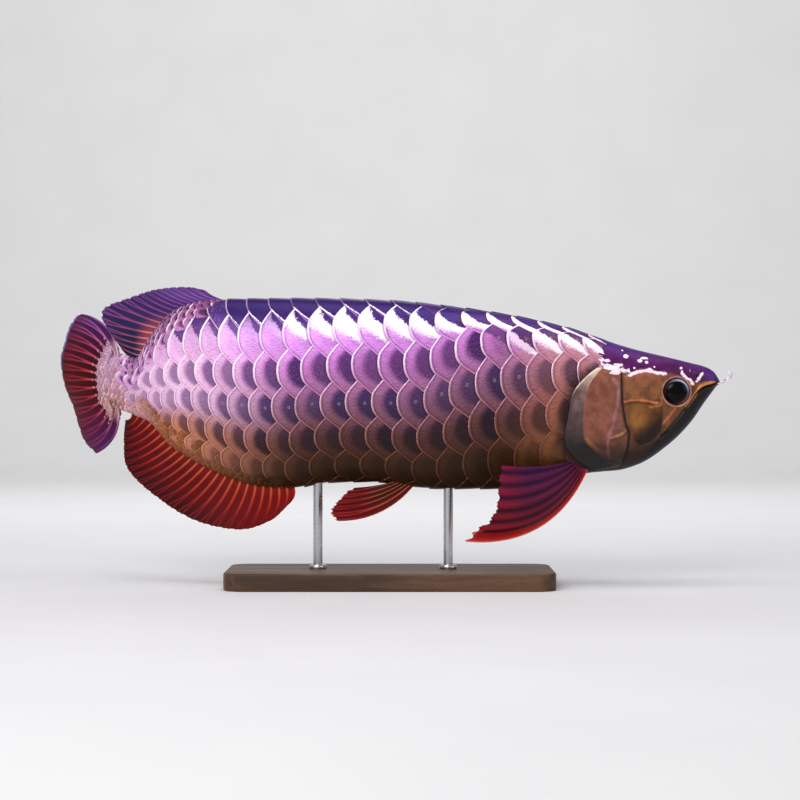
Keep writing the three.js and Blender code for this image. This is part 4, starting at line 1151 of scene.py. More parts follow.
    def paint_cover(
        self, colour: np.ndarray, x: np.ndarray, z: np.ndarray, wander: np.ndarray
    ) -> np.ndarray:
        """Returns the gill cover's colours: a rose bone, a grey membrane, pale and golden ridges and painted
        shade in the groove under the interopercle ridge.
        """
        near = self.near
        bone = self.bony(x, z)
        rose = ColourRun(
            (100, (74, 46, 34)), (116, (108, 62, 46)), (135, (136, 78, 68)), (170, (136, 80, 66)),
            (188, (158, 100, 78))
        )(z)
        rose = blend(rose, tone(158, 98, 60), near(np.abs(wander), 0.1, 0.5) * 0.25)
        colour = blend(rose, tone(122, 78, 62), ease(x + 2 * wander, 186, 192) * 0.6)
        corner = ease(x, 187, 191) * (1 - ease(z, 128, 134))
        colour = blend(colour, tone(130, 80, 50), corner * 0.8)
        grey = ColourRun(
            (100, (22, 16, 16)), (120, (40, 32, 34)), (146, (94, 70, 70)), (170, (132, 106, 100)),
            (188, (232, 206, 188))
        )(z)
        colour = colour * bone[..., None] + grey * (1 - bone[..., None])
        edge = self.shoulder.away(x, z)
        colour = blend(
            colour, tone(58, 48, 56), near(edge, 0.8, 4.5) * (1 - bone) * (1 - ease(z, 166, 178)) * 0.6
        )
        colour = blend(colour, tone(236, 214, 196), near(edge, 0.6, 1.6) * ease(z, 160, 176))
        colour = blend(colour, tone(176, 116, 120), near(self.wavy.away(x, z) + wander, 0.4, 2.2) * 0.6)
        colour = blend(
            colour, tone(214, 150, 96), near(self.interopercle.away(x, z) + 0.6 * wander, 0.2, 1.2) * 0.75
        )
        # Painted shade in the groove below the interopercle ridge.
        colour = blend(
            colour, tone(60, 34, 26), near(self.interopercle.away(x - 0.4, z + 2.6), 0.4, 1.6) * 0.5
        )
        colour = blend(colour, tone(190, 122, 70), near(self.foot.away(x, z) + 0.8 * wander, 0.3, 2.4) * 0.6)
        colour = blend(
            colour, tone(196, 132, 92), near(self.wavy.away(x, z), 0.3, 1.0) * (1 - ease(z, 120, 130)) * 0.8
        )
        return colour

    def paint_muzzle(self, colour: np.ndarray, x: np.ndarray, z: np.ndarray) -> np.ndarray:
        """Returns the colours of the eye's surround, the lips and the jaw, with painted shade in the mouth's
        slit, the eye's socket and the nostrils and a painted sheen on the jaw.
        """
        near = self.near
        eye = self.eye_gap(x, z)
        amber = tone(226, 132, 72)
        waver = 0.7 * self.wander(x, z)
        colour = blend(colour, tone(190, 120, 108), near(self.cheek_top.away(x, z) + waver, 0.5, 2.2) * 0.7)
        # Painted shadow just below the raised cheek ridge.
        colour = blend(colour, tone(58, 30, 22), near(self.cheek_ridge.away(x, z + 1.8), 0.5, 1.8) * 0.55)
        colour = blend(colour, amber, near(self.cheek_ridge.away(x, z) + waver, 0.1, 1.2) * 0.9)
        colour = blend(colour, tone(196, 114, 64), near(self.cheek_loop.away(x, z) + waver, 0.1, 1.1) * 0.8)
        colour = blend(colour, tone(206, 118, 74), near(self.eye_foot.away(x, z) + waver, 0.2, 1.5) * 0.8)
        colour = blend(colour, tone(150, 96, 56), near(self.maxilla.away(x, z) + waver, 0.4, 1.8) * 0.7)
        below = z < self.mouth_height(x)
        jaw = np.where(below & (x > 206), 1.0, 0.0) * ease(x, 206, 216)
        colour = blend(colour, tone(14, 11, 15), jaw * 0.97)
        # Painted sheen: a bluish reflection along the jaw's lower outline.
        outer = Line(BELLY_LINE)(x)
        colour = blend(colour, tone(30, 32, 60), jaw * near(z - outer, 1.0, 4.5) * 0.7)
        lips = near(self.mouth.away(x, z), 1.2, 3.2) * (1 - jaw)
        colour = blend(colour, tone(92, 54, 36), lips * 0.8)
        colour = blend(colour, tone(222, 150, 84), near(self.lip.away(x, z), 0.5, 1.5))
        # Painted shade in the mouth's slit.
        colour = blend(colour, tone(14, 9, 14), near(self.mouth.away(x, z), 0.25, 0.8))
        colour = blend(colour, tone(206, 138, 122), near(np.abs(eye - 12.5) + 0.5 * waver, 0.1, 1.1) * 0.9)
        # Painted shade in the eye's socket round the ball.
        colour = blend(colour, tone(24, 14, 24), 1 - ease(eye, 11.2, 12.2))
        # Painted shade inside the nostrils' pits.
        for px, pz, radius in NOSTRILS:
            pit = np.hypot(x - px, z - pz)
            colour = blend(colour, tone(20, 10, 22), 1 - ease(pit, 0.6 * radius, radius))
        return colour


MARKS = HeadMarks()


@dataclass
class Skin:
    """The one skin of head and body, under the scales and inside the CAD's plates."""

    around: int = 288
    head_from: float = 138.0
    body_rings: int = 56
    head_rings: int = 176
    finish: Finish = field(default_factory=SkinFinish)

    def build(self) -> bpy.types.Object:
        """Returns the skin as one closed mesh."""
        stations = np.concatenate([
            [TAIL_X, TAIL_X],
            np.linspace(TAIL_X, self.head_from, self.body_rings)[1:-1],
            np.linspace(self.head_from, SNOUT_X, self.head_rings),
            [SNOUT_X, SNOUT_X],
        ])
        shrink = np.ones(len(stations))
        shrink[[0, -1]] = 0
        shrink[-2] = 0.6
        push = np.zeros(len(stations))
        push[-2:] = 0.35, 0.5
        piece, u, v = Builder.grid("skin", self.around, len(stations) - 1)
        ring = np.rint(v * (len(stations) - 1)).astype(int)
        x = stations[ring]
        side = np.where(u <= 0.5, -1.0, 1.0)
        share = np.where(u <= 0.5, 2 * u, 2 - 2 * u)
        z = FORM.height(x, share)
        head = ease(x, self.head_from, self.head_from + 12)
        relief = np.where(x > self.head_from, MARKS.skin_relief(x, z) * head, 0)
        relief *= np.where((share < 0.004) | (share > 0.996), 0.4, 1)
        points = FORM.flank(x, share, side, relief)
        middle = place(
            x, np.zeros(len(x)), (FORM.height(x, np.zeros(len(x))) + FORM.height(x, np.ones(len(x)))) / 2
        )
        points = middle + (points - middle) * shrink[ring][:, None]
        points[:, 0] += push[ring]
        Builder.shape(piece, points)
        Builder.paint(piece, "Paint", self.colours(x, z, share, head))
        Builder.mark(piece, "Pale", np.where(x > 150, MARKS.pale(x, z), -1.0))
        Builder.map_uv(piece, "OFBake", unwrap(x, share, side))
        Builder.close_seams(piece)
        return piece

    def colours(self, x: np.ndarray, z: np.ndarray, share: np.ndarray, head: np.ndarray) -> np.ndarray:
        """Returns the skin's colours: the head's marks, dark skin under the scales and a painted shadow
        behind the gill cover's edge.
        """
        body = ColourRun(
            (0.0, (70, 40, 100)), (0.25, (60, 26, 70)), (0.55, (56, 34, 40)), (0.8, (60, 42, 22)),
            (1.0, (66, 48, 24))
        )(share)
        body = blend(body, tone(196, 146, 172), 1 - ease(x, -240, -222))
        painted = MARKS.paint(x, z, cover=False)
        # Painted shadow: the skin darkens to near black just behind the gill cover's free edge.
        behind = MARKS.shoulder.away(x, z)
        body = blend(body, tone(20, 12, 18), 1 - ease(behind, 3, 9))
        inside = ease(x - MARKS.shoulder_x(z), -1, 2)
        return body + (painted - body) * (inside * head)[:, None]

    def dress(self, piece: bpy.types.Object) -> None:
        """Gives the skin its finish and the nodes it stands for."""
        Builder.settle(
            piece, self.finish.material(), "skin",
            ["head", "lower_jaw", "torso_front", "torso_rear", "tail_stalk"]
        )


@dataclass
class GillCover:
    """One gill cover: a thin bony shell with its soft free edge."""

    side: Side
    across: int = 76
    down: int = 124
    thickness: float = 0.9
    finish: Finish = field(default_factory=lambda: SkinFinish(name="Gill skin", roughness=0.38, coat=0.3))

    def build(self) -> bpy.types.Object:
        """Returns the cover as a solid shell."""
        piece, u, v = Builder.grid(f"gill_cover_{self.side.name.lower()}_shell", self.across, self.down)
        rear = Trace(SHOULDER_LINE[1:])(v)
        front = Trace(((196.5, 191.5),) + PREOPERCLE_LINE + ((196, 101),))(v)
        rear[:, 0] += 0.6
        spot = rear + (front - rear) * u[:, None]
        x, z = spot[:, 0], spot[:, 1]
        share = FORM.share_at(x, z)
        lift = 1.7 - 0.9 * u
        lift = lift * (1 - ease(u, 0.94, 1.0)) - 0.9 * ease(u, 0.95, 1.0)
        edge = np.minimum(v, 1 - v)
        lift = lift * ease(edge, 0.0, 0.05) - 1.2 * (1 - ease(edge, 0.0, 0.05))
        lift += MARKS.cover_relief(x, z) * ease(edge, 0.02, 0.08) * (1 - ease(u, 0.93, 0.99))
        side = np.full(len(x), float(self.side.value))
        Builder.shape(piece, FORM.flank(x, share, side, lift))
        Builder.paint(piece, "Paint", MARKS.paint(x, z, cover=True))
        Builder.mark(piece, "Pale", MARKS.pale(x, z))
        Builder.map_uv(piece, "OFBake", unwrap(x, share, side))
        Builder.close_seams(piece)
        self.turn_out(piece)
        Builder.hold(piece)
        shell = piece.modifiers.new("Shell", "SOLIDIFY")
        shell.thickness = self.thickness * MM
        shell.offset = -1
        bpy.ops.object.modifier_apply(modifier=shell.name)
        return piece

    def turn_out(self, piece: bpy.types.Object) -> None:
        """Turns the open shell's faces away from the body."""
        if sum(p.normal.y * p.area for p in piece.data.polygons) * self.side.value < 0:
            Builder.hold(piece)
            bpy.ops.object.mode_set(mode="EDIT")
            bpy.ops.mesh.select_all(action="SELECT")
            bpy.ops.mesh.flip_normals()
            bpy.ops.object.mode_set(mode="OBJECT")

    def dress(self, piece: bpy.types.Object) -> None:
        """Gives the cover its finish."""
        Builder.settle(piece, self.finish.material(), "gill_cover", [f"gill_cover_{self.side.name.lower()}"])


class FlankTints:
    """The scales' colours by row and place along the body: rim, field and core. The rows run from pale above
    to dark below, partly the fish's own colours and partly painted light from above.
    """

    rim = ColourRun(
        (0, (120, 74, 150)), (0.7, (190, 136, 206)), (1.5, (214, 160, 220)), (2.3, (204, 138, 172)),
        (3, (196, 126, 136)), (4, (160, 92, 68)), (4.8, (116, 66, 38)), (6, (78, 52, 24)),
    )
    field = ColourRun(
        (0, (60, 32, 104)), (0.6, (84, 46, 136)), (1.1, (208, 140, 226)), (2, (196, 120, 196)),
        (2.6, (166, 106, 156)),
        (3.2, (132, 88, 112)), (4, (86, 54, 52)), (4.8, (62, 40, 22)), (6, (52, 36, 14)),
    )
    core = ColourRun(
        (0, (34, 14, 78)), (1, (44, 20, 100)), (2, (50, 16, 80)), (3, (52, 38, 80)), (4, (30, 20, 28)),
        (5, (34, 24, 10)), (6, (36, 26, 10)),
    )

    def __call__(self, x: np.ndarray, z: np.ndarray, row: np.ndarray) -> tuple:
        """Returns rim, field and core colours for points of the flank."""
        rim, mid, core = self.rim(row), self.field(row), self.core(row)
        # Lighter towards the tail: paler rear scales, brightened further by a painted highlight on the rear
        # flank.
        rear = 1 - ease(x, -190, -70)
        upper = 1 - ease(row, 3.0, 4.4)
        rim = blend(rim, tone(255, 216, 232), rear * upper * 0.85)
        mid = blend(
            mid, tone(255, 206, 242), rear * upper * ease(row, 0.3, 1.0) * (0.7 + 0.28 * ease(row, 1.2, 2.2))
        )
        core = blend(
            core, tone(112, 62, 132),
            rear * upper * (0.55 + 0.15 * ease(row, 1.2, 2.0)) * ease(row, 0.2, 0.9)
        )
        low = ease(row, 3.2, 4.2)
        rim = blend(rim, tone(244, 170, 144), rear * low * 0.85)
        mid = blend(mid, tone(216, 138, 112), rear * low * (1 - ease(row, 5.0, 6.0)) * 0.85)
        stalk = 1 - ease(x, -235, -195)
        mid = blend(mid, tone(204, 156, 186), stalk * 0.7 * upper)
        fore = ease(x, 84, 148)
        nape = ease(x, -30, 70) * (1 - ease(row, 0.75, 1.15))
        rim, mid = blend(rim, tone(66, 28, 96), nape), blend(mid, tone(60, 26, 96), nape)
        band = ease(row, 1.6, 2.3) * (1 - ease(row, 5.0, 5.8))
        salmon = ColourRun(
            (1.6, (222, 166, 196)), (2.6, (206, 142, 142)), (3.6, (176, 108, 88)), (5, (150, 96, 52))
        )(row)
        mid = blend(mid, salmon, fore * band * 0.72)
        core = blend(core, salmon * 0.35, fore * band * 0.4)
        gap = MARKS.shoulder.away(x, z)
        shade = (1 - ease(gap, 1.5, 9)) * (1 - ease(z, 184, 190)) * 0.85
        dark = tone(22, 13, 20)
        return blend(rim, dark, shade), blend(mid, dark, shade), blend(core, dark, shade)


TINTS = FlankTints()


@dataclass
class ScaleCoat:
    """The large scales, modelled once as a plate in their own units and laid on the body one by one."""

    columns: int = 14
    finish: Finish = field(default_factory=ScaleFinish)
    margin: Line = field(default_factory=lambda: Line((
        (-0.58, 0.57), (-0.48, 0.43), (-0.32, 0.22), (-0.15, 0.04), (0.03, 0.0), (0.25, 0.03), (0.42, 0.13),
        (0.62, 0.4),
        (0.86, 0.78),
    )))
    ahead: tuple = (0.0, 0.0, 0.05, 0.2, 0.45, 0.75, 1.05, 1.3)
    top_end: float = -0.58
    low_end: float = 0.86
    first: int = -14
    last: int = 15
    rear_ends: tuple = (-162, -214, -252, -256, -248, -196, -92)
    front_ends: tuple = (176, 170, 168, 160, 156, 162, 176)
    core_shares: tuple = (0.5, 0.95, 0.95, 0.95, 0.95, 0.6, 0.2)
    edge_lights: tuple = (0.0, 0.1, 0.1, 0.05, 0.02, 0.0, 0.0)
    flash_places: tuple = (-190, -60, 20, 120)
    flash_starts: tuple = ((0.7,) * 4, (0.12, 0.17, 0.26, 0.58), (0.1, 0.1, 0.1, 0.3))

    def template(self, low: float, high: float) -> tuple:
        """Adds the plate that each scale of a kind of row is copied from.

        Args:
            low: the plate's upper end in row units.
            high: its lower end.

        Returns:
            The plate, and for each of its points the place ahead of the margin, the place down and
            whether it hangs under the free edge.
        """
        columns = self.columns if high - low > 1 else self.columns // 2 + 1
        piece, u, v = Builder.grid("scale_plate", columns, len(self.ahead) - 1)
        step = np.rint(v * (len(self.ahead) - 1)).astype(int)
        return piece, np.array(self.ahead)[step], low + (high - low) * u, step == 0

    def build(self) -> list:
        """Returns the joined scales of each part of the flank."""
        kinds = {
            "back": self.template(0.0, self.low_end),
            "flank": self.template(self.top_end, self.low_end),
            "belly": self.template(self.top_end, 0.0),
        }
        rng = np.random.default_rng(SEED)
        parts = {}
        for side in Side:
            for row in range(LAST_ROW + 1):
                kind = "back" if row == 0 else "belly" if row == LAST_ROW else "flank"
                for scale in range(self.first, self.last + 1):
                    x0 = float(LATTICE.x_at(scale + row * ROW_SLANT))
                    if not self.wanted(x0, row):
                        continue
                    piece = self.lay(kinds[kind], scale, row, side, rng.uniform())
                    part = f"scales_{side.name.lower()}_{'rear' if x0 < FRONT_PART_X else 'front'}"
                    parts.setdefault(part, []).append(piece)
        for piece, *_ in kinds.values():
            bpy.data.objects.remove(piece)
        coats = []
        for name, pieces in parts.items():
            coat = Builder.join(pieces, name)
            bpy.ops.object.shade_smooth()
            coats.append(coat)
        return coats

    def wanted(self, x: float, row: int) -> bool:
        """Returns whether a large scale stands at a place; near the fins small ones take over."""
        return self.rear_ends[row] < x < self.front_ends[row]

    def lay(self, kind: tuple, scale: int, row: int, side: Side, chance: float) -> bpy.types.Object:
        """Copies the plate and shapes it to its place on the flank.

        Args:
            kind: the plate and its points' places.
            scale: the scale's number along its row.
            row: the row's number.
            side: the flank.
            chance: this scale's own number from 0 to 1, for small differences.

        Returns:
            The laid scale.
        """
        plate, ahead, down, skirt = kind
        piece = Builder.copy(plate)
        jitter = 0.02 * math.sin(97 * chance)
        along = self.margin(down) + ahead
        x, share = LATTICE.place(scale, row, along + jitter, down)
        z = FORM.height(x, share)
        tilt = 1.0 - 0.76 * along + 0.16 * down
        across = np.clip((down - self.top_end) / (self.low_end - self.top_end), 0, 1)
        bulge = 0.28 * np.sin(across * math.pi) * np.sin(np.clip(ahead, 0, 1) * math.pi)
        height = PLATE_HEIGHT * (tilt * (0.94 + 0.12 * chance) + bulge * 0.5)
        height = np.where(skirt, height - 0.75, height)
        height *= np.where(height > 0, self.fade(x, z), 1)
        gone = self.gone(x, z)
        height = height * (1 - gone) - 1.4 * gone
        flank_side = np.full(len(x), float(side.value))
        Builder.shape(piece, FORM.flank(x, share, flank_side, height))
        rows = np.clip(row + down * (0.5 if row == 0 else 1.0), 0, LAST_ROW)
        rim, mid, core = TINTS(x, z, rows)
        # Painted shadow: the skirt that hangs from the free edge gets a near-black rim colour, a dark line
        # under each rim.
        rim = np.where(skirt[:, None], rim * 0.1, rim)
        mean_x = float(x.mean())
        pored = (row == 3 and mean_x < 120) or (row == 2 and mean_x > 90)
        marks = {
            "Chance": chance,
            "Flash": self.flash(row, mean_x, chance),
            "FlashAt": self.flash_at(row, mean_x) + 0.06 * (chance - 0.5),
            "CoreShare": self.core_share(row, mean_x, chance),
            "EdgeLight": self.edge_light(row, mean_x, chance),
            "Pore": float(pored),
        }
        shrunk = self.margin(down * 0.9) + ahead * 0.72
        bx, bshare = LATTICE.place(scale, row, shrunk, down * 0.74)
        cell = np.stack([ahead, across], axis=-1)
        colours = rim, mid * (0.9 + 0.2 * chance), core
        Builder.mark_scale(piece, colours, marks, cell, unwrap(bx, bshare, flank_side))
        return piece

    @staticmethod
    def fade(x: np.ndarray, z: np.ndarray) -> np.ndarray:
        """Returns how much of their height the scales keep: less at the nape, the shoulder and the tail."""
        keep = 1 - 0.75 * ease(x, 150, 178) * ease(z, 186, 200)
        keep *= 1 - 0.7 * (1 - ease(MARKS.shoulder.away(x, z), 0, 9)) * (1 - ease(z, 186, 196))
        return keep * (0.45 + 0.55 * ease(x, -240, -150))

    @staticmethod
    def gone(x: np.ndarray, z: np.ndarray) -> np.ndarray:
        """Returns 1 where scales have run in under the skin of the head."""
        front = np.where(z > NAPE_Z, 178 + 6 * ease(z, 192, 206), MARKS.shoulder_x(z) + 4)
        gone = ease(x - front, 0, 5)
        low = (1 - ease(z - Line(BELLY_LINE)(x), 4.0, 8.5)) * (1 - ease(x, -100, -86))
        high = (1 - ease(Line(BACK_LINE)(x) - z, 3.0, 6.0)) * (1 - ease(x, -158, -146))
        return np.maximum(gone, np.maximum(low, high))

    @staticmethod
    def flash(row: int, x: float, chance: float) -> float:
        """Returns the width of the near-white patch on a scale of a row: its silvery layer, painted as its
        bright reflection.
        """
        place = np.array(x)
        if row == 0:
            return (0.2 + 0.16 * chance) * float(ease(place, -150, -90) * (1 - ease(place, -10, 40)))
        if row == 1:
            grown = 0.3 + 0.7 * float(ease(place, -170, 10))
            return (0.7 + 0.3 * chance) * grown * (1 + 0.9 * float(ease(place, 40, 110)))
        if row == 2:
            return 0.75 * float(ease(place, 84, 130))
        return 0.0

    def flash_at(self, row: int, x: float) -> float:
        """Returns how far down a scale the near-white patch, partly a painted highlight, starts."""
        return float(np.interp(x, self.flash_places, self.flash_starts[min(row, 2)]))

    def edge_light(self, row: int, x: float, chance: float) -> float:
        """Returns how far the painted highlight stands in from the upper part of a scale's rim."""
        base = self.edge_lights[row]
        if row == 1:
            base -= 0.06 * float(ease(np.array(x), 20, 80))
        rear = float(ease(np.array(-x), 60, 200))
        return base * (0.8 + 0.4 * chance) * (1 + 0.8 * rear)

    def core_share(self, row: int, x: float, chance: float) -> float:
        """Returns how strongly a scale of a row shows its dark core."""
        rear = float(ease(np.array(-x), 120, 220))
        return min(1.0, self.core_shares[row] * (0.8 + 0.3 * chance)) * (1 - 0.35 * rear)

    def dress(self, coats: list) -> None:
        """Gives the scales their finish."""
        for coat in coats:
            Builder.settle(coat, self.finish.material(), "scales", [])


class Patch(Enum):
    """The places that small scales cover."""

    BACK = "back"
    BELLY = "belly"
    STALK = "stalk"


@dataclass(frozen=True)
class SmallRow:
    """One row of small scales: its place round the flank, its scales' sizes and its ends."""

    patch: Patch
    arc: float
    pitch: float
    width: float
    start: float
    end: float

    def middle(self, x: np.ndarray) -> np.ndarray:
        """Returns the row's distance round the flank from the mid-line of the back."""
        girth = np.interp(x, FORM.x, FORM.girth)
        size = self.size(x)
        if self.patch is Patch.BELLY:
            return girth - self.arc * size
        if self.patch is Patch.STALK:
            return self.arc * girth
        return self.arc * size

    def size(self, x: np.ndarray) -> np.ndarray:
        """Returns how far the scales shrink towards the tail."""
        if self.patch is Patch.STALK:
            return np.interp(x, (-256, -216), (0.85, 1.15))
        return np.interp(x, (-256, -208, -150), (0.62, 0.8, 1.0))


@dataclass
class SmallScales:
    """Rows of small scales along the roots of the back fin and the belly fin, and over the tail's root."""

    finish: Finish = field(default_factory=ScaleFinish)
    back_rows: tuple = (
        (1.6, 5.6, 6.4), (7.0, 6.6, 8.0), (13.6, 8.2, 9.6), (21.4, 10.0, 11.2), (30.0, 11.6, 12.4)
    )
    belly_rows: tuple = (
        (1.2, 4.6, 5.0), (4.4, 5.2, 5.4), (8.2, 6.0, 6.2), (12.4, 7.2, 7.2), (17.2, 8.6, 8.2),
        (22.6, 10.0, 9.2),
    )
    stalk_rows: int = 11

    def rows(self) -> list:
        """Returns all rows, the ones further from the fins first, so the nearer lie over them."""
        out = []
        for number, (arc, pitch, width) in enumerate(self.back_rows):
            out.append(SmallRow(Patch.BACK, arc, pitch, width, -238, -142 - 9 * number))
        for number, (arc, pitch, width) in enumerate(self.belly_rows):
            out.append(SmallRow(Patch.BELLY, arc, pitch, width, -244 + 5 * number, -84 - 12 * number))
        for k in range(self.stalk_rows):
            share = (k + 0.5) / self.stalk_rows
            out.append(SmallRow(Patch.STALK, share, 4.6, 5.4, -257.5, -229 + 9 * abs(2 * share - 1)))
        return out

    def template(self) -> tuple:
        """Adds the little plate that each small scale is copied from."""
        piece, u, v = Builder.grid("small_plate", 6, 4)
        down = 2 * u - 1
        margin = 0.5 * np.abs(down) ** 1.7
        ahead = np.array([0.0, 0.0, 0.16, 0.8, 1.5])[np.rint(v * 4).astype(int)]
        return piece, margin + ahead, down, ahead, v < 0.01

    def build(self) -> list:
        """Returns the joined small scales of each flank."""
        kind = self.template()
        rng = np.random.default_rng(SEED + 1)
        coats = []
        for side in Side:
            pieces = []
            for number, row in enumerate(self.rows()):
                outline = Line(BELLY_LINE if row.patch is Patch.BELLY else BACK_LINE)
                x = row.start + (number % 2) * row.pitch / 2
                while x < row.end:
                    slope = 0.0 if row.patch is Patch.STALK else float(outline(x + 1) - outline(x - 1)) / 2
                    run = row.pitch * float(row.size(x)) / math.hypot(1, slope)
                    pieces.append(self.lay(kind, row, x, run, side, rng.uniform()))
                    x += run * (0.94 + 0.12 * rng.uniform())
            coat = Builder.join(pieces, f"small_scales_{side.name.lower()}")
            bpy.ops.object.shade_smooth()
            coats.append(coat)
        bpy.data.objects.remove(kind[0])
        return coats

    def lay(
        self, kind: tuple, row: SmallRow, x0: float, pitch: float, side: Side, chance: float
    ) -> bpy.types.Object:
        """Copies the little plate and shapes it to its place.

        Args:
            kind: the plate and its points' places.
            row: the row that it belongs to.
            x0: where its rear edge stands.
            pitch: its length along the body.
            side: the flank.
            chance: this scale's own number from 0 to 1.

        Returns:
            The laid scale.
        """
        plate, along, down, ahead, skirt = kind
        piece = Builder.copy(plate)
        x = x0 + along * pitch
        girth = np.interp(x, FORM.x, FORM.girth)
        spread = down * row.width * row.size(x) * 0.6 * (0.95 + 0.1 * chance)
        share = np.clip((row.middle(x) + spread) / girth, 0.0, 1.0)
        height = 0.6 * (1.2 - 0.62 * along) * (0.85 + 0.3 * chance) + 0.3
        height = np.where(skirt, height - 0.8, height)
        height = height * (1 - 0.85 * ease(x, row.end - 12, row.end + 6))
        flank_side = np.full(len(x), float(side.value))
        Builder.shape(piece, FORM.flank(x, share, flank_side, height))
        belly = row.patch is Patch.BELLY
        stalk = row.patch is Patch.STALK
        marks = {
            "Chance": chance,
            "CoreShare": 0.25 if stalk else 0.6 if belly else 0.9,
            "EdgeLight": 0.0 if belly else 0.24 * chance,
        }
        bx = x0 + along * pitch * 0.6
        bshare = np.clip((row.middle(x) + spread * 0.7) / girth, 0.0, 1.0)
        cell = np.stack([ahead * 0.8, (down + 1) / 2], axis=-1)
        colours = self.tints(row, x, skirt, share, chance)
        Builder.mark_scale(piece, colours, marks, cell, unwrap(bx, bshare, flank_side))
        return piece

    @staticmethod
    def tints(row: SmallRow, x: np.ndarray, skirt: np.ndarray, share: np.ndarray, chance: float) -> tuple:
        """Returns a small scale's rim, field and core colours by its place."""
        if row.patch is Patch.BELLY:
            rim = ColourRun((-228, (248, 200, 208)), (-196, (226, 146, 104)), (-110, (130, 82, 40)))(x)
            mid = ColourRun((-228, (226, 172, 182)), (-196, (160, 92, 54)), (-110, (78, 50, 22)))(x)
            core = mid * 0.36
        elif row.patch is Patch.STALK:
            rim = ColourRun((0, (240, 206, 230)), (0.6, (238, 190, 200)), (1, (214, 150, 110)))(share)
            mid = ColourRun((0, (196, 148, 190)), (0.6, (206, 150, 168)), (1, (170, 104, 66)))(share)
            core = mid * 0.5
        else:
            rim = ColourRun((0, (196, 116, 156)), (0.3, (255, 206, 236)))(share)
            mid = ColourRun((0, (130, 64, 112)), (0.3, (214, 148, 208)))(share)
            core = np.broadcast_to(tone(44, 16, 64), mid.shape)
        vary = 0.75 + 0.5 * chance
        # Painted shadow: the skirt under the free edge is darkened, a dark line under each rim.
        rim = np.where(skirt[:, None], 0.15, 1.0) * rim * (0.85 + 0.3 * chance)
        return rim, mid * vary, core * vary

    def dress(self, coats: list) -> None:
        """Gives the small scales their finish."""
        for coat in coats:
            Builder.settle(coat, self.finish.material(), "scales", [])


class FinLie:
    """How a fin's flat sheet lies in space."""

    def __call__(self, x: np.ndarray, z: np.ndarray, t: np.ndarray, s: np.ndarray) -> np.ndarray:
        """Returns the points in space."""
        raise NotImplementedError


@dataclass(frozen=True)
class MidPlane(FinLie):
    """A fin in the body's middle plane, with a shallow wave that grows to its edge."""

    wave: float
    turns: float
    curl: float = 0.0

    def __call__(self, x: np.ndarray, z: np.ndarray, t: np.ndarray, s: np.ndarray) -> np.ndarray:
        """Returns the points in space."""
        out = np.clip(t, 0, 1)
        at = place(x, self.wave * out * np.sin(self.turns * 2 * math.pi * s), z)
        at[..., 1] += self.curl * out * out
        return at


@dataclass(frozen=True)
class Spreading(FinLie):
    """A paired fin that spreads sideways from its root and cups a little."""

    side: Side
    hind_y: float
    fore_y: float
    spread: float
    cup: float
    forward: float

    def __call__(self, x: np.ndarray, z: np.ndarray, t: np.ndarray, s: np.ndarray) -> np.ndarray:
        """Returns the points in space."""
        out = np.clip(t, 0, 1)
        y = self.hind_y + (
            self.fore_y - self.hind_y
        ) * s + self.spread * out + np.minimum(t, 0) * self.spread
        y = y + self.cup * 4 * s * (1 - s) * out
        ahead = self.forward * out if self.side is Side.LEFT else 0.0
        return np.stack([x + ahead, self.side.value * y, z], axis=-1)


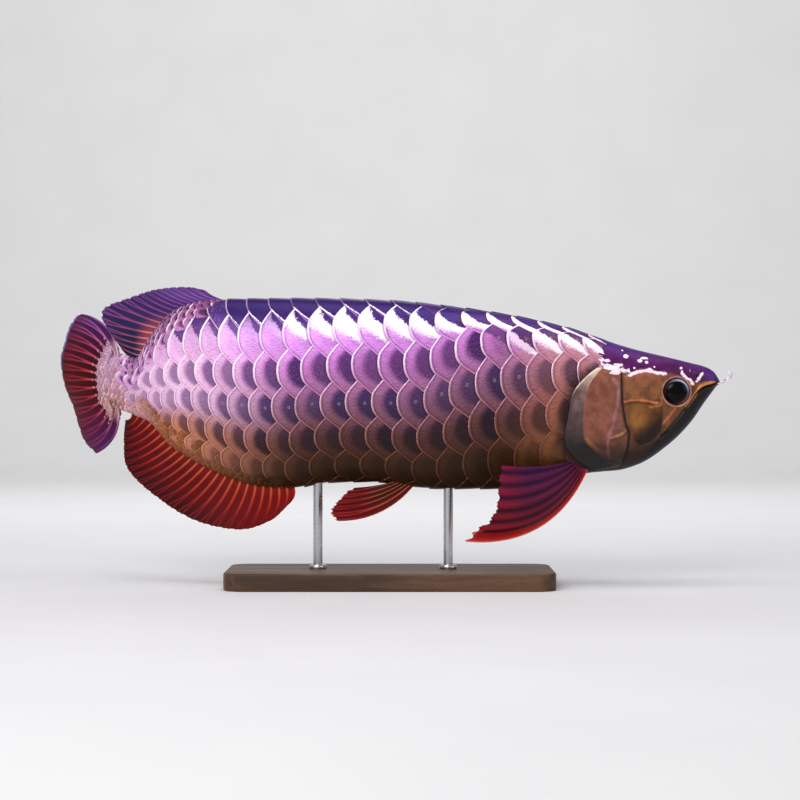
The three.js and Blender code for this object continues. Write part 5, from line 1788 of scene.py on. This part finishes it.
@dataclass
class Fin:
    """A fin: a web with raised rays that fork towards a ragged edge."""

    name: str
    root: tuple
    edge: tuple
    fan: tuple
    rays: int
    bow: Callable
    sink: float
    ray_thick: tuple
    web_thick: tuple
    lie: FinLie
    painter: Callable
    slot: str
    notch: float = 0.02
    inward: Optional[tuple] = None
    per_ray: int = 12
    rows: int = 44
    forks: tuple = (0.4, 0.72)
    ray_width: float = 0.125
    finish: Finish = field(default_factory=FinFinish)

    def ridge(self, s: np.ndarray, t: np.ndarray) -> np.ndarray:
        """Returns 1 on a ray and 0 on the web between, with the rays forked towards the edge."""
        place_ = s * (self.rays - 1)
        off = place_ - np.rint(place_)
        first, second = self.forks
        one = 0.19 * ease(t, first, first + 0.45)
        two = 0.085 * ease(t, second, second + 0.3)
        width = self.ray_width * (1 - 0.3 * ease(t, first, first + 0.3) - 0.22 * ease(t, second, 1.0))
        best = np.zeros(s.shape)
        for a in (-1, 1):
            for b in (-1, 1):
                best = np.maximum(best, np.exp(-(((off - a * one - b * two) / width) ** 2)))
        return best

    def sheet(self, s: np.ndarray, t: np.ndarray) -> np.ndarray:
        """Returns the points of the fin's middle sheet at shares along its root and out to its edge."""
        start = Trace(self.root)(s)
        end = Trace(self.edge)(Line(self.fan)(s))
        run = end - start
        length = np.linalg.norm(run, axis=-1)
        across = np.stack([-run[..., 1], run[..., 0]], axis=-1) / length[..., None]
        flat = start + run * t[..., None] + across * (self.bow(s) * 4 * t * (1 - t))[..., None]
        if self.inward:
            inner = start + np.array(self.inward) * self.sink
            flat = np.where((t < 0)[..., None], inner, flat)
        return self.lie(flat[..., 0], flat[..., 1], t, s)

    def build(self) -> bpy.types.Object:
        """Returns the fin as a closed mesh."""
        columns = (self.rays - 1) * self.per_ray
        piece, s, v = Builder.grid(f"{self.name}_web", columns, self.rows)
        rng = np.random.default_rng(SEED + len(self.name) + self.rays)
        row = np.rint(v * self.rows).astype(int)
        column = np.rint(s * columns).astype(int)
        sink_share = -self.sink / float(
            np.linalg.norm(Trace(self.edge)(np.array(0.5)) - Trace(self.root)(np.array(0.5)))
        )
        tear = np.convolve(rng.normal(0, 1, columns + 9), np.ones(9) / 9, "same")[4:-4]
        web = 1 - self.ridge(np.linspace(0, 1, columns + 1), np.ones(columns + 1))
        reach = 1 - self.notch * web - 0.35 * self.notch * np.abs(tear[: columns + 1])
        t = np.where(row == 0, sink_share, (row - 1) / (self.rows - 1) * reach[column])
        ray = self.ridge(s, t)
        Builder.shape(piece, self.sheet(s, t))
        Builder.paint(piece, "Paint", np.clip(self.painter(s, np.clip(t, 0, 1), ray), 0, 1))
        Builder.mark(piece, "Ray", ray)
        Builder.map_uv(piece, "Fan", np.stack([s * (self.rays - 1), t], axis=-1))
        out = np.clip(t, 0, 1)
        rays = self.ray_thick[0] + (self.ray_thick[1] - self.ray_thick[0]) * out
        webs = (self.web_thick[0] + (self.web_thick[1] - self.web_thick[0]) * out) * 0.6
        thick = webs + (rays - webs) * ray
        thick *= 1 - 0.55 * ease(out, 0.9, 1.0)
        most = float(thick.max())
        group = piece.vertex_groups.new(name="thick")
        for value in np.unique(np.round(thick / most, 2)):
            group.add(np.nonzero(np.round(thick / most, 2) == value)[0].tolist(), float(value), "REPLACE")
        Builder.hold(piece)
        body = piece.modifiers.new("Thickness", "SOLIDIFY")
        body.thickness = most * MM
        body.offset = 0
        body.vertex_group = "thick"
        body.thickness_vertex_group = 0.02
        bpy.ops.object.modifier_apply(modifier=body.name)
        bpy.ops.object.shade_smooth()
        return piece

    def dress(self, piece: bpy.types.Object) -> None:
        """Gives the fin its finish."""
        Builder.settle(piece, self.finish.material(), self.slot, [self.name])


def paint_dorsal(s: np.ndarray, t: np.ndarray, ray: np.ndarray) -> np.ndarray:
    """Returns the back fin's colours: blue-violet web, pink rays, orange-pink at the rear root."""
    web = ColourRun((0, (104, 60, 150)), (0.45, (66, 44, 112)), (0.8, (34, 34, 78)), (1, (24, 34, 72)))(s)
    web = blend(web, tone(58, 30, 92), ease(t, 0.6, 1.0) * 0.6)
    rays = ColourRun(
        (0, (168, 106, 190)), (0.4, (150, 78, 136)), (0.75, (160, 76, 92)), (1, (190, 92, 84))
    )(s)
    rays = blend(rays, tone(92, 58, 132), ease(t, 0.35, 1.0) * (0.85 - 0.3 * s))
    root = (1 - ease(t, 0.0, 0.36)) * ease(s, 0.45, 0.75)
    rays = blend(rays, tone(246, 160, 140), root)
    web = blend(web, tone(176, 78, 92), root * (1 - ease(s, 0.84, 0.95)) * 0.8)
    colour = web + (rays - web) * (ray**1.5)[..., None]
    return blend(colour, tone(96, 66, 170), ease(t, 0.955, 1.0) * 0.7)


def paint_anal(s: np.ndarray, t: np.ndarray, ray: np.ndarray) -> np.ndarray:
    """Returns the belly fin's colours: crimson web, orange rays near the root and a dark rear edge."""
    web = ColourRun((0, (140, 6, 8)), (0.2, (116, 8, 12)), (0.6, (92, 8, 16)), (1, (100, 12, 20)))(s)
    web = blend(web, tone(44, 6, 12), ease(t, 0.45, 0.95) * ease(s, 0.14, 0.42) * 0.85)
    web = blend(web, tone(150, 20, 16), (1 - ease(t, 0.0, 0.3)) * 0.5)
    rays = ColourRun((0, (212, 52, 30)), (0.4, (196, 70, 42)), (1, (190, 44, 38)))(s)
    rays = blend(rays, tone(112, 14, 22), ease(t, 0.28, 0.75) * 0.9)
    rays = blend(rays, tone(232, 124, 70), (1 - ease(t, 0.02, 0.34)) * 0.65)
    return web + (rays - web) * (ray**1.5)[..., None]


def paint_caudal(s: np.ndarray, t: np.ndarray, ray: np.ndarray) -> np.ndarray:
    """Returns the tail fin's colours: purple above, deep red between, magenta below, pale at the root, with
    a painted blue-silver sheen near the upper lobe's edge.
    """
    web = ColourRun(
        (0, (76, 36, 104)), (0.2, (70, 14, 48)), (0.42, (74, 0, 16)), (0.62, (76, 0, 18)),
        (0.8, (86, 8, 52)),
        (1, (76, 20, 88)),
    )(s)
    rays = ColourRun(
        (0, (170, 112, 190)), (0.2, (176, 60, 104)), (0.45, (168, 30, 42)), (0.65, (162, 22, 38)),
        (0.85, (144, 28, 84)),
        (1, (126, 56, 136)),
    )(s)
    rays = blend(rays, tone(108, 6, 28), ease(t, 0.5, 0.95) * 0.7)
    web = blend(web, tone(52, 20, 84), ease(t, 0.86, 1.0) * (1 - ease(s, 0.3, 0.5)) * 0.9)
    colour = web + (rays - web) * (ray**1.5)[..., None]
    # Painted sheen: a blue-silver reflection near the upper lobe's trailing edge.
    silver = ease(t, 0.945, 0.985) * (1 - ease(s, 0.34, 0.5)) * ease(s, 0.04, 0.12)
    colour = blend(colour, tone(150, 158, 228), silver * 0.75)
    colour = blend(colour, tone(236, 120, 116), (1 - ease(t, 0.2, 0.6)) * (ray**2) * 0.7)
    return blend(colour, tone(232, 178, 200), (1 - ease(t, 0.12, 0.3)) * (0.6 + 0.4 * ray))


def paint_pectoral(s: np.ndarray, t: np.ndarray, ray: np.ndarray) -> np.ndarray:
    """Returns the breast fin's colours: violet-red with dark furrows and a bright red-orange leading ray."""
    web = ColourRun((0, (26, 4, 44)), (0.5, (24, 2, 28)), (0.84, (40, 2, 18)), (1, (150, 12, 20)))(s)
    rays = ColourRun((0, (84, 16, 70)), (0.5, (96, 14, 50)), (0.8, (120, 18, 36)), (1, (214, 40, 30)))(s)
    rays = blend(rays, tone(156, 20, 28), ease(t, 0.62, 1.0) * 0.5)
    colour = web + (rays - web) * (ray**0.75)[..., None]
    colour = blend(colour, tone(204, 40, 34), ease(s, 0.86, 0.93) * 0.85)
    colour = blend(colour, tone(240, 144, 128), ease(s, 0.972, 0.99) * 0.8)
    return blend(colour, tone(140, 50, 60), (1 - ease(t, 0, 0.07)) * 0.5)


def paint_pelvic(s: np.ndarray, t: np.ndarray, ray: np.ndarray) -> np.ndarray:
    """Returns the belly pair's colours: golden-orange root and crimson tip."""
    web = ColourRun((0, (78, 26, 22)), (0.5, (66, 18, 22)), (1, (96, 22, 20)))(s)
    rays = ColourRun((0, (190, 104, 58)), (0.5, (180, 84, 50)), (1, (198, 86, 50)))(s)
    tip = ease(t, 0.36, 0.72)
    web = blend(web, tone(100, 6, 16), tip)
    rays = blend(rays, tone(150, 20, 32), tip * 0.85)
    rays = blend(rays, tone(222, 148, 92), (1 - ease(t, 0.0, 0.3)) * 0.6)
    return web + (rays - web) * (ray**1.4)[..., None]


def make_fins() -> list:
    """Returns the seven fins with the lines of the CAD source."""
    fins = [
        Fin(
            "dorsal_fin",
            (
                (-141, 246), (-174, 241.5), (-190.6, 234), (-202.4, 224.5), (-210.5, 213), (-216, 202),
                (-224, 196)
            ),
            (
                (-139, 248), (-160.2, 255.2), (-178, 258.6), (-203.3, 257), (-230.9, 250), (-251.8, 243),
                (-255.6, 233.3), (-244.1, 215.5), (-236.6, 205),
            ),
            ((0, 0.14), (0.08, 0.25), (0.5, 0.55), (0.8, 0.88), (1, 1)), 19, lambda s: 1.5 + 0 * s, 5,
            (1.9, 1.0),
            (0.9, 0.7), MidPlane(1.4, 2.2), paint_dorsal, "dorsal_fin", notch=0.045,
        ),
        Fin(
            "anal_fin",
            (
                (-81.8, 84), (-111.2, 85), (-141.7, 94), (-166.4, 105.5), (-191.5, 121), (-209, 141.5),
                (-226.3, 149)
            ),
            (
                (-81, 80), (-93, 64.4), (-105.1, 54.9), (-129.5, 47.8), (-166.4, 54.3), (-200.5, 72),
                (-230, 99.5),
                (-235.2, 123.1), (-232, 142.5),
            ),
            ((0, 0.05), (0.26, 0.34), (0.5, 0.62), (0.83, 0.885), (1, 1)), 25, lambda s: 2.5 + 0 * s, 5,
            (1.9, 1.0),
            (0.9, 0.7), MidPlane(1.6, 2.6), paint_anal, "anal_fin", per_ray=10, forks=(0.5, 0.85),
            ray_width=0.13,
        ),
        Fin(
            "caudal_fin",
            ((-239, 200), (-245.5, 185), (-246.5, 175), (-244, 164), (-239, 153)),
            (
                (-275.7, 237), (-282, 236), (-290.9, 226.5), (-296, 210.5), (-298.5, 199), (-297, 187),
                (-292.8, 169.9), (-286.5, 154.6), (-281, 135.8), (-275, 122.4), (-262.9, 111.9),
            ),
            ((0, 0), (0.5, 0.46), (1, 1)), 15, lambda s: 9 * (2 * s - 1), 3, (2.8, 1.0), (1.8, 0.7),
            MidPlane(1.2, 1.5, 17), paint_caudal, "caudal_fin", per_ray=16, forks=(0.3, 0.62),
        ),
    ]
    for side in Side:
        fins.append(Fin(
            f"pectoral_fin_{side.name.lower()}", ((157, 108.5), (163, 105), (169.5, 101.5)),
            (
                (93.4, 105.4), (91.3, 95), (89.6, 76), (88.6, 68.4), (84.4, 61.7), (78.6, 52.5),
                (69.4, 47.5),
                (61.9, 41.8),
            ),
            ((0, 0), (1, 1)), 8, lambda s: 3 + 19 * s, 6, (2.4, 1.1), (1.1, 0.7),
            Spreading(side, 13, 6.5, 46, 3, 9), paint_pectoral, "pectoral_fin", inward=(0, 1), per_ray=20,
            forks=(0.72, 0.95), ray_width=0.33,
        ))
        fins.append(Fin(
            f"pelvic_fin_{side.name.lower()}", ((5, 90), (13, 88.5), (21, 87)),
            ((-35.7, 83.4), (-41.6, 77.5), (-49.3, 68.9), (-50.8, 64.5), (-45.9, 57.5)),
            ((0, 0), (1, 1)), 6, lambda s: 1 + 8 * s, 5, (2.0, 1.0), (1.0, 0.7),
            Spreading(side, 5, 4, 24, 2, 4), paint_pelvic, "pelvic_fin", notch=0.03, inward=(0.1, 0.99),
            per_ray=18,
            rows=34, forks=(0.4, 0.72),
        ))
    return fins


@dataclass
class TailScales:
    """Small pale scales that run from the tail's root out along the tail fin's rays in fingers."""

    fin: Fin
    finish: Finish = field(default_factory=ScaleFinish)
    rings: int = 7
    count: int = 28

    def build(self) -> bpy.types.Object:
        """Returns the scales of both faces as one mesh."""
        plate, u, v = Builder.grid("tail_plate", 4, 3)
        down = 2 * u - 1
        ahead = np.array([0.0, 0.0, 0.5, 1.3])[np.rint(v * 3).astype(int)]
        rng = np.random.default_rng(SEED + 2)
        pieces = []
        for side in Side:
            for ring in range(self.rings):
                reach = 0.13 + 0.036 * ring
                for k in range(self.count + 1):
                    s0 = (k + 0.5 * (ring % 2)) / self.count
                    off = abs(s0 * (self.fin.rays - 1) - round(s0 * (self.fin.rays - 1)))
                    if abs(s0 - 0.5) > 0.46 or (ring > 2 and off > 0.42 - 0.07 * (ring - 2)):
                        continue
                    pieces.append(
                        self.lay(plate, down, ahead, v < 0.01, s0, reach, ring, side, rng.uniform())
                    )
        bpy.data.objects.remove(plate)
        joined = Builder.join(pieces, "tail_scales")
        bpy.ops.object.shade_smooth()
        return joined

    def lay(
        self, plate: bpy.types.Object, down: np.ndarray, ahead: np.ndarray, skirt: np.ndarray, s0: float,
        reach: float,
        ring: int, side: Side, chance: float,
    ) -> bpy.types.Object:
        """Copies the little plate and lays it on one face of the fin.

        Args:
            plate: the plate to copy.
            down: its points' places across.
            ahead: its points' places from its free edge.
            skirt: which points hang under the free edge.
            s0: its place along the fin's root.
            reach: its place out along the rays.
            ring: the number of its ring.
            side: the face of the fin.
            chance: this scale's own number from 0 to 1.

        Returns:
            The laid scale.
        """
        piece = Builder.copy(plate)
        fade = 1 - 0.08 * ring
        s = np.clip(s0 + down * 0.62 / self.count * fade, 0, 1)
        t = np.maximum(reach - (ahead + 0.5 * down**2) * 0.05 * fade, 0.001)
        points = self.fin.sheet(s, t)
        _, slope = sweep(points[:, 0])
        size = np.hypot(1, slope)
        stand = np.interp(points[:, 0], (-275, -262, -256, -248, -240), (0.9, 1.2, 1.6, 3.5, 5.8))
        lift = side.value * (stand + 0.7 * (1 - 0.6 * ahead) * fade - 0.7 * skirt)
        points[:, 0] -= lift * slope / size
        points[:, 1] += lift / size
        Builder.shape(piece, points)
        count = len(s)
        tint = ColourRun(
            (0, (226, 180, 220)), (0.5, (244, 192, 208)), (1, (220, 160, 140))
        )(s) * (0.75 + 0.4 * chance)
        tint = blend(tint, tone(196, 90, 104), 0.11 * ring * np.ones(count))
        flat = np.stack([0.01 + 0.11 * (1 - t / 0.45), 0.5 + side.value * (0.01 + 0.48 * s)], axis=-1)
        marks = {"Chance": chance, "CoreShare": 0.3, "EdgeLight": 0.3 * chance}
        cell = np.stack([ahead * 0.8, (down + 1) / 2], axis=-1)
        Builder.mark_scale(piece, (tint * 1.1, tint * 0.8, tint * 0.4), marks, cell, flat)
        return piece

    def dress(self, piece: bpy.types.Object) -> None:
        """Gives the scales their finish."""
        Builder.settle(piece, self.finish.material(), "scales", [])


@dataclass
class Eye:
    """One eye: a flattened ball, black in the middle with a metallic ring."""

    side: Side
    finish: Finish = field(default_factory=EyeFinish)
    pupil: float = 0.79
    fullness: float = 3.6
    segments: int = 72
    rings: int = 48

    def build(self) -> bpy.types.Object:
        """Returns the eye, from a grid so that its points come in the same order each run."""
        piece, u, v = Builder.grid(f"eye_{self.side.name.lower()}_ball", self.segments, self.rings)
        turn, fall = 2 * math.pi * u, math.pi * v
        ball = np.stack([np.sin(fall) * np.cos(turn), -np.cos(fall), np.sin(fall) * np.sin(turn)], axis=-1)
        out = np.hypot(ball[:, 0], ball[:, 2])
        facing = ball[:, 1] * self.side.value
        full = (1 - np.clip(out, 0, 1) ** self.fullness) ** 0.5
        ball[:, 1] = np.where(facing > 0, full * self.side.value, ball[:, 1])
        size = np.array([EYE_RADIUS, EYE_HALF_DEPTH, EYE_RADIUS])
        y = self.side.value * (FORM.width_at(EYE_X, EYE_Z) + EYE_PROUD - EYE_HALF_DEPTH)
        Builder.shape(piece, ball * size + np.array([EYE_X, y, EYE_Z]))
        Builder.paint(piece, "Paint", self.colours(ball, out))
        Builder.close_seams(piece)
        return piece

    def colours(self, ball: np.ndarray, out: np.ndarray) -> np.ndarray:
        """Returns the eye's colours: black pupil, silver-blue ring above, partly a painted highlight, and
        golden-pink below.
        """
        # The ring pales to silver-white towards the upper front: partly the iris's colour, partly a painted
        # highlight.
        lean = (ball[:, 2] + 0.5 * ball[:, 0]) / 1.12
        ring = ColourRun(
            (-1, (150, 84, 66)), (-0.3, (110, 70, 70)), (0.3, (104, 92, 128)), (0.8, (176, 190, 222)),
            (1, (214, 222, 240))
        )(lean)
        ring = ring * (0.75 + 0.25 * np.sin(out * 60))[:, None]
        thin = ease(out, self.pupil - 0.015, self.pupil + 0.02)
        low = ease(-lean, 0.2, 0.8)
        thin = thin * (1 - low * (1 - ease(out, 0.88, 0.92)))
        return blend(np.broadcast_to(tone(5, 4, 9), ring.shape), ring, thin)

    def dress(self, piece: bpy.types.Object) -> None:
        """Gives the eye its finish."""
        Builder.settle(piece, self.finish.material(), "eye", [f"eye_{self.side.name.lower()}"])


@dataclass
class Barbel:
    """One of the two chin barbels: a thin tapered feeler that turns up at its tip."""

    side: Side
    finish: Finish = field(default_factory=lambda: SkinFinish(name="Barbel skin"))

    def build(self) -> bpy.types.Object:
        """Returns the barbel as a closed tapered tube."""
        piece, u, v = Builder.grid(f"barbel_{self.side.name.lower()}_feeler", 14, 48)
        route = Trace(BARBEL_ROUTE)
        share = np.clip(v * 1.02 - 0.01, 0, 1)
        middle = route(share)
        ahead = route(np.minimum(share + 0.01, 1)) - route(np.maximum(share - 0.01, 0))
        ahead /= np.linalg.norm(ahead, axis=1, keepdims=True)
        flat = np.cross(ahead, (0, 0, 1.0))
        flat /= np.linalg.norm(flat, axis=1, keepdims=True)
        upright = np.cross(flat, ahead)
        radius = BARBEL_RADIUS * (1 - 0.68 * share) * (1 + 0.05 * np.sin(share * 70))
        radius = np.where((v < 0.01) | (v > 0.99), 0.0, radius)
        turn = u * 2 * math.pi
        points = middle + (flat * np.cos(turn)[:, None] + upright * np.sin(turn)[:, None]) * radius[:, None]
        points[:, 1] *= self.side.value
        Builder.shape(piece, points)
        Builder.paint(
            piece, "Paint",
            ColourRun((0, (96, 60, 110)), (0.5, (132, 116, 170)), (1, (196, 190, 220)))(share)
        )
        Builder.close_seams(piece)
        return piece

    def dress(self, piece: bpy.types.Object) -> None:
        """Gives the barbel its finish."""
        Builder.settle(piece, self.finish.material(), "barbel", [f"barbel_{self.side.name.lower()}"])


@dataclass
class Stand:
    """The display stand: a wooden base with rounded edges and two steel rods in small collars."""

    length: float = 280.0
    width: float = 120.0
    height: float = 15.0
    corner: float = 18.0
    soft: float = 1.6
    rod_radius: float = 4.0

    def base(self) -> bpy.types.Object:
        """Returns the base: a board with rounded corners and soft edges, as rings from below to above."""
        soft, high = self.soft, self.height
        arc = np.linspace(0, math.pi / 2, 5)
        lower = [(soft - soft * math.sin(a), soft - soft * math.cos(a)) for a in arc]
        upper = [(soft - soft * math.cos(a), high - soft + soft * math.sin(a)) for a in arc]
        rings = [(self.corner, 0.0), (self.corner, 0.0), (soft + 0.5, 0.0), *lower]
        rings += [*upper, (soft + 0.5, high), (self.corner, high), (self.corner, high)]
        piece, u, v = Builder.grid("stand_base_board", 64, len(rings) - 1)
        step = np.rint(v * (len(rings) - 1)).astype(int)
        inset, z = np.array(rings)[step].T
        column = np.rint(u * 64).astype(int) % 64
        quarter, part = column // 16, (column % 16) / 15
        turn = (quarter + part) * math.pi / 2
        east = np.where((quarter == 0) | (quarter == 3), 1, -1)
        north = np.where(quarter < 2, 1, -1)
        x = east * (self.length / 2 - self.corner) + (self.corner - inset) * np.cos(turn)
        y = north * (self.width / 2 - self.corner) + (self.corner - inset) * np.sin(turn)
        y = np.where((step == 0) | (step == len(rings) - 1), 0.0, y)
        Builder.shape(piece, np.stack([x, y, z], axis=-1))
        Builder.close_seams(piece)
        bpy.ops.object.shade_smooth_by_angle(angle=math.radians(35))
        return piece

    def rod(self, name: str, x: float) -> bpy.types.Object:
        """Returns a rod with its collar, turned from one profile.

        Args:
            name: the CAD rod's name.
            x: the rod's place along the body.
        """
        low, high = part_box(name)
        bottom, top = low[2] / MM, high[2] / MM
        radius = self.rod_radius
        profile = (
            (0.0, bottom - 0.3), (radius + 3.2, bottom - 0.2), (radius + 3.4, bottom + 0.2),
            (radius + 3.4, bottom + 2.4),
            (radius + 3.0, bottom + 3.0), (radius + 0.9, bottom + 3.2), (radius, bottom + 3.6),
            (radius, bottom + 30),
            (radius, top - 0.4), (radius - 0.4, top), (0.0, top),
        )
        piece, u, v = Builder.grid(f"{name}_turned", 48, len(profile) - 1)
        spot = np.array(profile)[np.rint(v * (len(profile) - 1)).astype(int)]
        turn = u * 2 * math.pi
        aside, _ = sweep(np.array(x))
        points = np.stack(
            [x + spot[:, 0] * np.cos(turn), float(aside) + spot[:, 0] * np.sin(turn), spot[:, 1]], axis=-1
        )
        Builder.shape(piece, points)
        Builder.close_seams(piece)
        bpy.ops.object.shade_smooth_by_angle(angle=math.radians(35))
        return piece

    def build(self) -> None:
        """Builds and dresses the whole stand."""
        Builder.settle(self.base(), WoodFinish().material(), "stand_base", ["stand_base"])
        for name, x in (("stand_rod_front", 50.0), ("stand_rod_rear", -62.0)):
            Builder.settle(self.rod(name, x), SteelFinish().material(), "stand_rod", [name])


@dataclass
class Studio:
    """The plain pale room, its soft lights and the photograph's camera."""

    reach: float = 6.0
    back: float = 2.6

    def sweep_paper(self) -> None:
        """Adds the floor and backdrop as one curved sheet."""
        piece, u, v = Builder.grid("studio_sweep", 24, 60)
        run = v * (4.0 + self.back + 3.0) - 4.0
        radius = 1.2
        turn = np.clip((run - self.back) / radius, 0, math.pi / 2)
        y = np.where(run < self.back, run, self.back + radius * np.sin(turn))
        z = np.where(run < self.back, 0.0, radius * (1 - np.cos(turn)))
        z = np.where(turn >= math.pi / 2, radius + run - self.back - radius * math.pi / 2, z)
        Builder.shape(piece, np.stack([(u - 0.5) * 2 * self.reach, y, z], axis=-1) / MM)
        Builder.hold(piece)
        bpy.ops.object.shade_smooth()
        piece.data.materials.append(StageFinish().material())

    @staticmethod
    def lamp(
        name: str, spot: Sequence[float], aim: Sequence[float], size: Sequence[float], power: float,
        colour: Sequence[float]
    ) -> None:
        """Adds one soft lamp.

        Args:
            name: the lamp's name.
            spot: where it hangs.
            aim: what it lights.
            size: its width and height in metres.
            power: its watts.
            colour: its tint.
        """
        Builder.deselect()
        bpy.ops.object.light_add(type="AREA", location=spot)
        lamp = bpy.context.object
        lamp.name = name
        lamp.data.shape = "RECTANGLE"
        lamp.data.size, lamp.data.size_y = size
        lamp.data.energy = power
        lamp.data.color = colour
        lamp.rotation_euler = (Vector(aim) - Vector(spot)).to_track_quat("-Z", "Y").to_euler()

    def build(self) -> None:
        """Builds the room."""
        self.sweep_paper()
        self.lamp("top_soft", (0.05, -0.25, 1.35), (0, 0, 0.17), (1.3, 0.7), 11, (1.0, 0.97, 1.0))
        self.lamp("front_soft", (-0.7, -1.7, 1.1), (0, 0, 0.17), (1.2, 0.9), 27, (1.0, 0.98, 0.96))
        self.lamp("side_soft", (1.5, -0.9, 0.6), (0.1, 0, 0.17), (0.8, 0.8), 4, (1.0, 0.96, 0.92))
        self.lamp("rear_soft", (-0.4, 1.5, 1.3), (0, 0, 0.2), (1.4, 0.5), 5, (0.94, 0.95, 1.0))
        self.lamp("wall_soft", (0, 1.0, 2.3), (0, 3.8, 1.0), (3.0, 1.2), 75, (1.0, 0.99, 0.98))
        world = bpy.data.worlds.new("Studio air")
        world.use_nodes = True
        world.node_tree.nodes["Background"].inputs[0].default_value = (0.86, 0.87, 0.9, 1)
        world.node_tree.nodes["Background"].inputs[1].default_value = 0.38
        bpy.context.scene.world = world
        bpy.context.scene.view_settings.view_transform = "Standard"
        self.camera()

    @staticmethod
    def camera() -> None:
        """Adds the level camera of the photograph."""
        Builder.deselect()
        bpy.ops.object.camera_add(
            location=(VIEW_X * MM, -VIEW_DISTANCE * MM, VIEW_Z * MM), rotation=(math.pi / 2, 0, 0)
        )
        camera = bpy.context.object
        camera.name = "photo_camera"
        camera.data.lens = LENS
        camera.data.sensor_width = SENSOR
        camera.data.clip_end = 50
        bpy.context.scene.camera = camera


def main() -> None:
    """Builds every part in order."""
    logging.basicConfig(level=logging.INFO, format="%(name)s: %(message)s")
    Studio().build()
    skin = Skin()
    skin.dress(skin.build())
    for side in Side:
        for part in (GillCover(side), Eye(side), Barbel(side)):
            part.dress(part.build())
    for coat in (ScaleCoat(), SmallScales()):
        coat.dress(coat.build())
    for fin in make_fins():
        fin.dress(fin.build())
        if fin.name == "caudal_fin":
            tail = TailScales(fin)
            tail.dress(tail.build())
    Stand().build()


if __name__ == "__main__":
    main()
